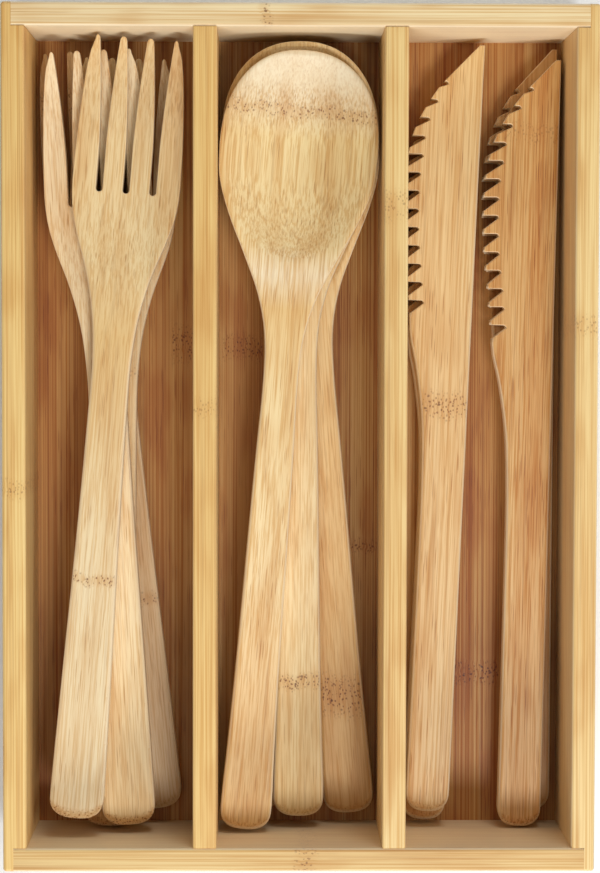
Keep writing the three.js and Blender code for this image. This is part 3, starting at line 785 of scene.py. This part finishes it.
def slice_end(bm, centre, half):
    """Gives the handle's end a fine grid, so that it can be rounded over."""
    slice_blank(bm, 1, steps(END_CELL, HANDLE_WIDEST_AT, END_CELL))
    slice_blank(bm, 0, [centre + x for x in steps(1.3 - half, half - 1.3, END_CELL)],
                lambda face: abs(face.normal.z) > 0.99 and face.calc_center_median().y < HANDLE_WIDEST_AT)


def end_thickness(x, y, centre, half):
    """Share of the thickness that is left where the handle's end is rounded over."""
    from_end = y - END_BOW * ((x - centre) / half) ** 2
    return 1 - END_THINNING * min(max(1 - from_end / END_BAND, 0.0), 1.0) ** 2


def blend_values(y, y0, y1, a, b):
    """a up to y0, b from y1 on, and a straight change in between."""
    return a + (b - a) * min(max((y - y0) / (y1 - y0), 0.0), 1.0)


print("share of the thickness left at a handle's end:", round(end_thickness(0, 0, 0, 1), 2))

# %% [markdown]
# ## Laying a piece where its CAD twin lies
# The twelve pieces lie tilted and turned in their piles. Their places could be typed in, but
# then they would be wrong as soon as the CAD model changes. A solid's centre of mass and its
# three main axes are the same however finely it is modelled, so they are worked out for the
# piece and for its twin, and one is laid over the other. A few rounds of moving each point
# towards the nearest point of the twin's surface take out what is left.

# %% Helpers for placing
FIT_ROUNDS = 8
FIT_EVERY = 5


def signed_volumes(triangles):
    """Volume of the tetrahedron between each triangle and the origin."""
    return np.einsum("ni,ni->n", triangles[:, 0], np.cross(triangles[:, 1], triangles[:, 2])) / 6


def mass_frame(mesh):
    """A closed mesh's centre of mass and main axes: Y along the piece, Z towards its top."""
    mesh.calc_loop_triangles()
    corners = np.empty(len(mesh.loop_triangles) * 3, np.int32)
    mesh.loop_triangles.foreach_get("vertices", corners)
    triangles = points_of(mesh).astype(float)[corners.reshape(-1, 3)]
    volumes = signed_volumes(triangles)
    centre = (volumes[:, None] * triangles.sum(1)).sum(0) / 4 / volumes.sum()
    triangles = triangles - centre
    volumes = signed_volumes(triangles)
    sums = triangles.sum(1)
    spread = np.einsum("n,ni,nj->ij", volumes, sums, sums)
    spread += np.einsum("n,nki,nkj->ij", volumes, triangles, triangles)
    axes = np.linalg.eigh(spread)[1]
    up = Vector(axes[:, 0].tolist()) * (1 if axes[2, 0] > 0 else -1)
    along = Vector(axes[:, 2].tolist()) * (1 if axes[1, 2] > 0 else -1)
    rotation = Matrix((along.cross(up), along, up)).transposed().to_4x4()
    return Matrix.Translation(Vector(centre.tolist())) @ rotation


def nearest_move(places, surface):
    """The rigid move that brings points closest to the surface, and how far off they are."""
    targets = np.array([surface.find_nearest(Vector(place.tolist()))[0] for place in places])
    centre, target_centre = places.mean(0), targets.mean(0)
    u, _, v = np.linalg.svd((places - centre).T @ (targets - target_centre))
    turn = (u @ np.diag([1, 1, np.linalg.det(u @ v)]) @ v).T
    off = np.linalg.norm(targets - places, axis=1).mean()
    back = Matrix.Translation(Vector((-centre).tolist()))
    there = Matrix.Translation(Vector(target_centre.tolist()))
    return there @ Matrix(turn.tolist()).to_4x4() @ back, off


def lay_on_twin(mesh, node, guide):
    """Moves a mesh to where its CAD twin lies. The guide has the twin's shape and is fitted to it."""
    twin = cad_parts[node].data
    fitted = guide.copy()
    place = mass_frame(twin) @ mass_frame(fitted).inverted()
    fitted.transform(place)
    surface = BVHTree.FromPolygons(points_of(twin).tolist(),
                                   [tuple(triangle.vertices) for triangle in twin.loop_triangles])
    for _ in range(FIT_ROUNDS):
        move, off = nearest_move(points_of(fitted)[::FIT_EVERY].astype(float), surface)
        fitted.transform(move)
        place = move @ place
    mesh.transform(place)
    bpy.data.meshes.remove(fitted)
    print(node, "lies", round(off / MM, 2), "mm from its twin's surface on average")


print("each piece is fitted to its twin in", FIT_ROUNDS, "rounds")

# %% [markdown]
# ## Forks
# A fork's handle narrows to a neck, and its head is bent: the neck rises, the roots of the
# tines dip and their tips rise again. Three slots with round roots part four tines. The slots
# are drawn as part of the outline, which a boolean cut would also do, but this way the rounding
# runs cleanly round every tine.

# %% Sizes of a fork, in mm
FORK_LENGTH = 200.6
FORK_HANDLE = 140.0
FORK_END_WIDTH = 13.8
FORK_NECK_WIDTH = 9.74
FORK_HEAD_WIDTH = 27.5
SLOT_WIDTH = 1.75
SLOT_LENGTH = 39.5
SLOT_COUNT = 3
TINE_TIP_WIDTH = 1.5
TINE_TAPER_LENGTH = 27.0
TINE_CAP = 1.0
TINE_ROUNDING = 0.3
TINE_PITCH = FORK_HEAD_WIDTH / (SLOT_COUNT + 1)
SLOT_ROOT = FORK_LENGTH - SLOT_LENGTH

fork_half_width = curve_through(
    (0, FORK_END_WIDTH / 2),
    (HANDLE_WIDEST_AT, FORK_END_WIDTH / 2),
    (FORK_HANDLE * 0.29, FORK_NECK_WIDTH / 2 + 1.33),
    (FORK_HANDLE * 0.57, FORK_NECK_WIDTH / 2 + 0.43),
    (FORK_HANDLE * 0.8, FORK_NECK_WIDTH / 2),
    (FORK_HANDLE - 20, FORK_NECK_WIDTH / 2 + 0.18),
    (FORK_HANDLE - 10, FORK_NECK_WIDTH / 2 + 1.18),
    (FORK_HANDLE, FORK_NECK_WIDTH / 2 + 3.43),
    (FORK_LENGTH - 50.6, FORK_HEAD_WIDTH / 2 - 2.15),
    (FORK_LENGTH - 45, FORK_HEAD_WIDTH / 2 - 0.7),
    (FORK_LENGTH - 39, FORK_HEAD_WIDTH / 2),
    (FORK_LENGTH - 32, FORK_HEAD_WIDTH / 2),
    (FORK_LENGTH - 20, FORK_HEAD_WIDTH / 2 - 0.5),
    (FORK_LENGTH - 10, FORK_HEAD_WIDTH / 2 - 1.3),
    (FORK_LENGTH - 4, FORK_HEAD_WIDTH / 2 - 2.2),
    (FORK_LENGTH, FORK_HEAD_WIDTH / 2 - 3.6),
)
fork_top = curve_through(
    (0, HANDLE_THICKNESS + 0.2),
    (FORK_HANDLE * 0.4, HANDLE_THICKNESS + 1.2),
    (FORK_HANDLE * 0.78, HANDLE_THICKNESS + 2.5),
    (FORK_LENGTH - 66, HANDLE_THICKNESS + 1.5),
    (FORK_LENGTH - 46, HANDLE_THICKNESS - 0.7),
    (FORK_LENGTH - 30, HANDLE_THICKNESS - 1.3),
    (FORK_LENGTH - 14, HANDLE_THICKNESS - 0.3),
    (FORK_LENGTH, HANDLE_THICKNESS + 1.5),
)
fork_thickness = curve_through(
    (0, HANDLE_THICKNESS),
    (FORK_HANDLE * 0.8, HANDLE_THICKNESS),
    (FORK_HANDLE, HANDLE_THICKNESS - 0.8),
    (FORK_LENGTH - 34, HANDLE_THICKNESS - 1.2),
    (FORK_LENGTH, 2.6),
)
print("neck of the fork:", FORK_NECK_WIDTH, "mm, head:", FORK_HEAD_WIDTH, "mm")


# %% Draw a fork's outline
def slot_half_width(y):
    """Half a slot's width: parallel at first, then it flares towards the tips."""
    t = max((y - FORK_LENGTH + TINE_TAPER_LENGTH) / TINE_TAPER_LENGTH, 0.0)
    half, mouth = SLOT_WIDTH / 2, (TINE_PITCH - TINE_TIP_WIDTH) / 2
    return half * (1 - t) ** 2 + (half + 0.35) * 2 * t * (1 - t) + mouth * t * t


def fork_outline():
    points = handle_end(0.0, FORK_END_WIDTH / 2)
    cap_base = FORK_LENGTH - TINE_CAP
    points += [(fork_half_width(y), y) for y in steps(HANDLE_WIDEST_AT, cap_base, 3.0)[:-1]]
    root = SLOT_ROOT + SLOT_WIDTH / 2
    going_up = steps(root, cap_base, 3.0)
    right = fork_half_width(cap_base)
    for i in reversed(range(SLOT_COUNT)):
        centre = (i - (SLOT_COUNT - 1) / 2) * TINE_PITCH
        left = centre + slot_half_width(cap_base)
        points += arc(((left + right) / 2, cap_base), (right - left) / 2, TINE_CAP, 0, 180, 6)
        points += [(centre + slot_half_width(y), y) for y in going_up[-2:0:-1]]
        points += arc((centre, root), SLOT_WIDTH / 2, SLOT_WIDTH / 2, 360, 180, 8)
        points += [(centre - slot_half_width(y), y) for y in going_up[1:-1]]
        right = centre - slot_half_width(cap_base)
    left = -fork_half_width(cap_base)
    points += arc(((left + right) / 2, cap_base), (right - left) / 2, TINE_CAP, 0, 180, 6)
    points += [(-fork_half_width(y), y) for y in steps(cap_base, HANDLE_WIDEST_AT, 3.0)[1:]]
    return points


def around(radius):
    """A rounding of one radius for all edges of a blank but the upright ones."""
    return lambda edge: 0.0 if abs(edge.verts[0].co.z - edge.verts[1].co.z) > TOUCH else radius


def fork_height(x, y, share):
    """Height of a point of the blank after bending. share is 0 below and 1 on top."""
    depth = 1 - (fork_half_width(y) - abs(x)) / SIDE_ROUNDING
    softness = blend_values(y, FORK_LENGTH - 58, SLOT_ROOT - 2, SIDE_ROUNDING - TINE_ROUNDING, 0.0)
    left = 1 - softness * max(depth, 0.0) ** 2 / (HANDLE_THICKNESS / 2)
    left *= end_thickness(x, y, 0.0, FORK_END_WIDTH / 2)
    return fork_top(y) - fork_thickness(y) * (0.5 - (share - 0.5) * left)


def fork_mesh():
    bm = round_edges(blank_from(fork_outline(), HANDLE_THICKNESS), around(TINE_ROUNDING), 3)
    slice_blank(bm, 1, [SLOT_ROOT - 2])
    broad = sorted(bm.faces, key=lambda face: face.calc_area())[-2:]
    bmesh.ops.inset_region(bm, faces=broad, thickness=SIDE_ROUNDING - TINE_ROUNDING)
    slice_end(bm, 0.0, FORK_END_WIDTH / 2)
    slice_blank(bm, 1, steps(10.0, FORK_LENGTH - 1.2, 2.0))
    for vert in bm.verts:
        vert.co.z = fork_height(vert.co.x, vert.co.y, vert.co.z / HANDLE_THICKNESS)
    return as_mesh(bm, "fork")


fork = fork_mesh()
print("fork mesh:", len(fork.polygons), "faces")

# %% Add the forks
FORK_WOODS = {
    "fork_1": dict(seed=21, tones=[(0.0, "#DEC39B"), (0.3, "#DFC194"), (1.0, "#E8C896")],
                   bands=[(55.6, 5.0, 0.9), (188.0, 9.0, 0.7)], bundles=0.4, end_grain=0.2),
    "fork_2": dict(seed=22, tones=[(0.0, "#F0CE96"), (0.5, "#F4DAA8"), (1.0, "#F7E4BE")],
                   bands=[(120.0, 5.0, 0.3)], bundles=0.5, end_grain=0.8),
    "fork_3": dict(seed=23, tones=[(0.0, "#F2D49E"), (0.35, "#F8E2B6"), (1.0, "#F8E4BC")],
                   bundles=0.5, end_grain=0.95),
    "fork_4": dict(seed=24, tones=[(0.0, "#EDD9B0"), (0.3, "#F2DDB2"), (0.62, "#E9C688"),
                                   (0.72, "#F2DAA6"), (1.0, "#EED09A")],
                   bands=[(62.0, 4.0, 0.9)], bundles=0.45, end_grain=0.9),
}
for node, wood in FORK_WOODS.items():
    mesh = fork.copy()
    lay_on_twin(mesh, node, fork)
    add_piece(mesh, node, bamboo(node + "_bamboo", **wood))

# %% [markdown]
# ## Spoons
# A spoon has the same kind of handle, and an egg-shaped bowl that is hollowed from above and
# rounded below. The bowl needs a fine mesh both ways, and an edge that follows its rim. An
# inset of the blank's top face gives that edge. The top spoon's hollow is the only one that is
# seen, and it ends in an arc short of the neck. The others stay as long as their CAD twins', so
# that the bowl above nests in them.

# %% Sizes of a spoon, in mm
SPOON_LENGTH = 202.0
SPOON_END_WIDTH = 13.2
SPOON_NECK_WIDTH = 8.9
NECK = 117.5
BOWL_WIDTH = 40.6
BOWL_LENGTH = 60.0
TOP_HOLLOW_LENGTH = 53.0
HEEL_BOW = 4.5
BACK_FULLNESS = 0.6
TOP_FULLNESS = 0.95
BOWL_WIDEST = 176.8
BOWL_FULLNESS = 2.25
BOWL_HOLLOW_DEPTH = 4.6
BOWL_BACK_DEPTH = 5.0
BOWL_RIM_WIDTH = 1.5
BOWL_CELL = 1.5

spoon_side = curve_through(
    (0, SPOON_END_WIDTH / 2),
    (HANDLE_WIDEST_AT, SPOON_END_WIDTH / 2),
    (NECK * 0.17, SPOON_NECK_WIDTH / 2 + 1.75),
    (NECK * 0.34, SPOON_NECK_WIDTH / 2 + 1.25),
    (NECK * 0.51, SPOON_NECK_WIDTH / 2 + 0.95),
    (NECK * 0.7, SPOON_NECK_WIDTH / 2 + 0.65),
    (NECK * 0.85, SPOON_NECK_WIDTH / 2 + 0.35),
    (NECK, SPOON_NECK_WIDTH / 2),
    (NECK + 12, SPOON_NECK_WIDTH / 2 + 0.65),
    (NECK + 22, SPOON_NECK_WIDTH / 2 + 3.15),
    (SPOON_LENGTH - 52.5, BOWL_WIDTH / 2 - 8.3),
    (SPOON_LENGTH - 42.5, BOWL_WIDTH / 2 - 3.6),
    (SPOON_LENGTH - 33.5, BOWL_WIDTH / 2 - 0.6),
    (BOWL_WIDEST, BOWL_WIDTH / 2),
)
spoon_rim = curve_through(
    (0, HANDLE_THICKNESS),
    (NECK * 0.45, HANDLE_THICKNESS + 1.2),
    (NECK * 0.88, HANDLE_THICKNESS + 2.7),
    (SPOON_LENGTH - 70, HANDLE_THICKNESS + 2.7),
    (SPOON_LENGTH - 50, HANDLE_THICKNESS + 2.2),
    (SPOON_LENGTH - 25, HANDLE_THICKNESS + 2.2),
    (SPOON_LENGTH, HANDLE_THICKNESS + 3.8),
)
spoon_thickness = curve_through(
    (0, HANDLE_THICKNESS),
    (NECK * 0.45, HANDLE_THICKNESS),
    (NECK, 3.9),
    (SPOON_LENGTH - 58, 3.6),
    (SPOON_LENGTH - 40, 2.2),
    (SPOON_LENGTH, 1.8),
)
print("bowl:", BOWL_WIDTH, "x", BOWL_LENGTH, "mm")


# %% Draw a spoon's outline and hollow its bowl
def spoon_half_width(y):
    if y < BOWL_WIDEST:
        return spoon_side(y)
    t = min((y - BOWL_WIDEST) / (SPOON_LENGTH - BOWL_WIDEST), 1.0)
    return BOWL_WIDTH / 2 * (1 - t ** BOWL_FULLNESS) ** (1 / BOWL_FULLNESS)


def spoon_outline():
    points = handle_end(0.0, SPOON_END_WIDTH / 2)
    sides = steps(HANDLE_WIDEST_AT, BOWL_WIDEST, 2.5)
    points += [(spoon_side(y), y) for y in sides]
    power = 2 / BOWL_FULLNESS
    reach = SPOON_LENGTH - BOWL_WIDEST
    tip = []
    for degrees in range(5, 90, 5):
        a = math.radians(degrees)
        tip.append((BOWL_WIDTH / 2 * math.cos(a) ** power, BOWL_WIDEST + reach * math.sin(a) ** power))
    points += tip + [(0.0, SPOON_LENGTH)] + [(-x, y) for x, y in reversed(tip)]
    points += [(-spoon_side(y), y) for y in reversed(sides)]
    return points


def bowl_sink(y, heel, tip, fullness=BACK_FULLNESS):
    """How far the bowl has sunk at a station: 0 at its heel and its tip, 1 in its middle."""
    t = (2 * y - heel - tip) / (tip - heel)
    return max(1 - abs(t) ** 2.4, 0.0) ** fullness


def spoon_height(x, y, share, hollow_length):
    """Height of a point of the blank after hollowing. share is 0 below and 1 on top."""
    half = spoon_half_width(y)
    u = min(abs(x) / max(half, 0.1), 1.0)
    inner = min(abs(x) / max(half - BOWL_RIM_WIDTH, 0.1), 1.0)
    shortened = hollow_length < BOWL_LENGTH
    heel = SPOON_LENGTH - hollow_length + (HEEL_BOW * inner ** 2 if shortened else 0.0)
    fullness = TOP_FULLNESS if shortened else BACK_FULLNESS
    sink = bowl_sink(y, heel, SPOON_LENGTH - BOWL_RIM_WIDTH, fullness)
    hollow = BOWL_HOLLOW_DEPTH * sink * (1 - inner ** 2)
    back = BOWL_BACK_DEPTH * bowl_sink(y, SPOON_LENGTH - BOWL_LENGTH, SPOON_LENGTH) * (1 - u ** 2)
    top = spoon_rim(y) - hollow
    bottom = spoon_rim(y) - spoon_thickness(y) - back
    return bottom + (top - bottom) * share


def spoon_mesh(hollow_length):
    bm = round_edges(blank_from(spoon_outline(), HANDLE_THICKNESS), around(SIDE_ROUNDING), 4)
    broad = sorted(bm.faces, key=lambda face: face.calc_area())[-2:]
    bmesh.ops.inset_region(bm, faces=broad, thickness=BOWL_RIM_WIDTH - SIDE_ROUNDING)
    slice_end(bm, 0.0, SPOON_END_WIDTH / 2)
    slice_blank(bm, 1, steps(10.0, NECK, 2.5))
    slice_blank(bm, 1, steps(NECK, SPOON_LENGTH - 1.3, BOWL_CELL))
    slice_blank(bm, 0, steps(-BOWL_WIDTH / 2 + 2, BOWL_WIDTH / 2 - 2, BOWL_CELL),
                lambda face: abs(face.normal.z) > 0.99 and face.calc_center_median().y > NECK + 5)
    for vert in bm.verts:
        x, y, z = vert.co
        left = end_thickness(x, y, 0.0, SPOON_END_WIDTH / 2)
        vert.co.z = spoon_height(x, y, 0.5 + (z / HANDLE_THICKNESS - 0.5) * left, hollow_length)
    return as_mesh(bm, "spoon")


nested_spoon = spoon_mesh(BOWL_LENGTH)
top_spoon = spoon_mesh(TOP_HOLLOW_LENGTH)
print("spoon mesh:", len(top_spoon.polygons), "faces")

# %% Add the spoons
SPOON_WOODS = {
    "spoon_1": dict(seed=31, tones=[(0.0, "#DAB278"), (1.0, "#DEBA82")], bundles=0.35,
                    end_grain=0.3),
    "spoon_2": dict(seed=32, tones=[(0.0, "#D9B075"), (0.25, "#E0BA7E"), (0.5, "#F2D39A"),
                                    (1.0, "#F3D6A0")],
                    bands=[(32.0, 15.0, 0.8)], bundles=0.35, end_grain=0.4),
    "spoon_3": dict(seed=33, tones=[(0.0, "#E7C98F"), (0.3, "#F3DAA8"), (1.0, "#F4DCAA")],
                    bands=[(36.0, 6.0, 0.85)], bundles=0.35, end_grain=0.4),
    "spoon_4": dict(seed=34, bands=[(186.8, 5.5, 0.8)], streaks=0.62, bundles=0.5, end_grain=0.35,
                    calm_from=189.0,
                    tones=[(0.0, "#E3BE82"), (0.15, "#E9C68E"), (0.3, "#F1D8A6"), (0.55, "#F3DAA4"),
                           (0.68, "#EAC88A"), (0.725, "#F7E6C2"), (0.76, "#EED7A2"), (0.9, "#F0D89E"),
                           (0.95, "#ECDAB4"), (1.0, "#EFE0C0")]),
}
for node, wood in SPOON_WOODS.items():
    mesh = (top_spoon if node == "spoon_4" else nested_spoon).copy()
    lay_on_twin(mesh, node, nested_spoon)
    add_piece(mesh, node, bamboo(node + "_bamboo", **wood))

# %% [markdown]
# ## Knives
# A knife is flat all through. Its spine is straight, and its cutting edge carries a row of
# teeth that are cut square on the tip side and slant back on the handle side. The rows differ a
# little from knife to knife, so each knife has its own outline.

# %% Sizes of a knife, in mm
KNIFE_LENGTH = 201.0
KNIFE_THICKNESS = 5.6
KNIFE_HANDLE_WIDTH = 11.3
BLADE_WIDTH = 19.1
KNIFE_TIP_WIDTH = 1.3
TOOTH_PITCH = 4.75
TOOTH_DEPTH = 3.9
TOOTH_CORNER = 0.7
TOOTH_BACK_SLOPE = 0.75
TOOTH_ROUNDING = 0.28
# For each knife, how far the first tooth is from the tip, and how many teeth there are.
KNIFE_TEETH = {"knife_1": (9.7, 13), "knife_2": (9.7, 13), "knife_3": (10.6, 13), "knife_4": (7.3, 14)}

knife_edge = curve_through(
    (0, KNIFE_HANDLE_WIDTH),
    (KNIFE_LENGTH - 122, KNIFE_HANDLE_WIDTH - 0.2),
    (KNIFE_LENGTH - 104, KNIFE_HANDLE_WIDTH + 0.2),
    (KNIFE_LENGTH - 95, KNIFE_HANDLE_WIDTH + 0.9),
    (KNIFE_LENGTH - 83.4, BLADE_WIDTH - 5),
    (KNIFE_LENGTH - 76, BLADE_WIDTH - 3.2),
    (KNIFE_LENGTH - 72, BLADE_WIDTH - 2.9),
    (KNIFE_LENGTH - 60, BLADE_WIDTH - 1.7),
    (KNIFE_LENGTH - 49, BLADE_WIDTH - 0.4),
    (KNIFE_LENGTH - 38, BLADE_WIDTH),
    (KNIFE_LENGTH - 30, BLADE_WIDTH - 0.4),
    (KNIFE_LENGTH - 21, BLADE_WIDTH - 2.4),
    (KNIFE_LENGTH - 11.7, BLADE_WIDTH - 7.4),
    (KNIFE_LENGTH - 7.2, BLADE_WIDTH - 11.1),
)
print("blade:", BLADE_WIDTH, "mm, teeth", TOOTH_PITCH, "mm apart")


# %% Draw a knife's outline
def tooth(y, depth):
    """A tooth's point, the square cut behind it, the gullet's rounded corner and the slant back."""
    root = depth - knife_edge(y)
    points = [(-knife_edge(y), y)]
    points += arc((root - TOOTH_CORNER, y - TOOTH_CORNER), TOOTH_CORNER, TOOTH_CORNER, 90, 0, 4)
    back = y - TOOTH_CORNER - depth * TOOTH_BACK_SLOPE
    return points + [(-knife_edge(back), back)]


def knife_outline(first_tooth, tooth_count):
    """Anticlockwise from the handle's end up the spine, then back down the cutting edge."""
    half = KNIFE_HANDLE_WIDTH / 2
    points = handle_end(-half, half)
    points += [(0.0, y) for y in steps(HANDLE_WIDEST_AT, KNIFE_LENGTH, 4.0)]
    points.append((-KNIFE_TIP_WIDTH, KNIFE_LENGTH))
    y = KNIFE_LENGTH - first_tooth
    for i in range(tooth_count):
        points += tooth(y, TOOTH_DEPTH * min(0.3 + 0.18 * i, 1.0))
        y -= TOOTH_PITCH
    points += [(-knife_edge(place), place) for place in steps(y, HANDLE_WIDEST_AT, 3.0)]
    return points


def knife_mesh(first_tooth, tooth_count):
    """The teeth are less rounded than the rest, and the spine less towards its tip."""
    half = KNIFE_HANDLE_WIDTH / 2
    last_tooth = KNIFE_LENGTH - first_tooth - (tooth_count - 1) * TOOTH_PITCH
    teeth_end = last_tooth - TOOTH_CORNER - TOOTH_DEPTH * TOOTH_BACK_SLOPE

    def rounding(edge):
        a, b = (vert.co for vert in edge.verts)
        middle = (a + b) / 2
        if abs(a.z - b.z) > TOUCH:
            return 0.0
        if middle.x > -TOUCH:
            return blend_values(middle.y, KNIFE_LENGTH - 18, KNIFE_LENGTH - 2, SIDE_ROUNDING,
                                TOOTH_ROUNDING)
        return TOOTH_ROUNDING if middle.y > teeth_end else SIDE_ROUNDING

    bm = round_edges(blank_from(knife_outline(first_tooth, tooth_count), KNIFE_THICKNESS), rounding, 4)
    slice_end(bm, -half, half)
    slice_blank(bm, 1, steps(12.0, KNIFE_LENGTH - 5, 12.0))
    for vert in bm.verts:
        middle = KNIFE_THICKNESS / 2
        vert.co.z = middle + (vert.co.z - middle) * end_thickness(vert.co.x, vert.co.y, -half, half)
    return as_mesh(bm, "knife")


print("points in a knife's outline:", len(knife_outline(*KNIFE_TEETH["knife_1"])))

# %% Add the knives
KNIFE_WOODS = {
    "knife_1": dict(seed=41, tones=[(0.0, "#DAB078"), (1.0, "#DCB47C")], streaks=0.6, bundles=0.25,
                    end_grain=0.5),
    "knife_2": dict(seed=42, tones=[(0.0, "#E8CA99"), (0.5, "#E8C892"), (1.0, "#E9C98F")],
                    bands=[(107.0, 10.0, 0.75)], streaks=0.6, bundles=0.6, end_grain=0.4),
    "knife_3": dict(seed=43, tones=[(0.0, "#D0A878"), (1.0, "#E0B880")], streaks=0.6, bundles=0.25,
                    end_grain=0.4),
    "knife_4": dict(seed=44, tones=[(0.0, "#F1CF9C"), (0.5, "#F0CD93"), (1.0, "#EFCB8A")], strips=0.6,
                    strip_width=2.4, bands=[(182.0, 8.0, 0.3)], streaks=0.8, bundles=0.6, end_grain=0.7),
}
for node, wood in KNIFE_WOODS.items():
    mesh = knife_mesh(*KNIFE_TEETH[node])
    lay_on_twin(mesh, node, mesh)
    half = KNIFE_HANDLE_WIDTH / 2
    add_piece(mesh, node, bamboo(node + "_bamboo", end_centre=-half, end_half=half, **wood))
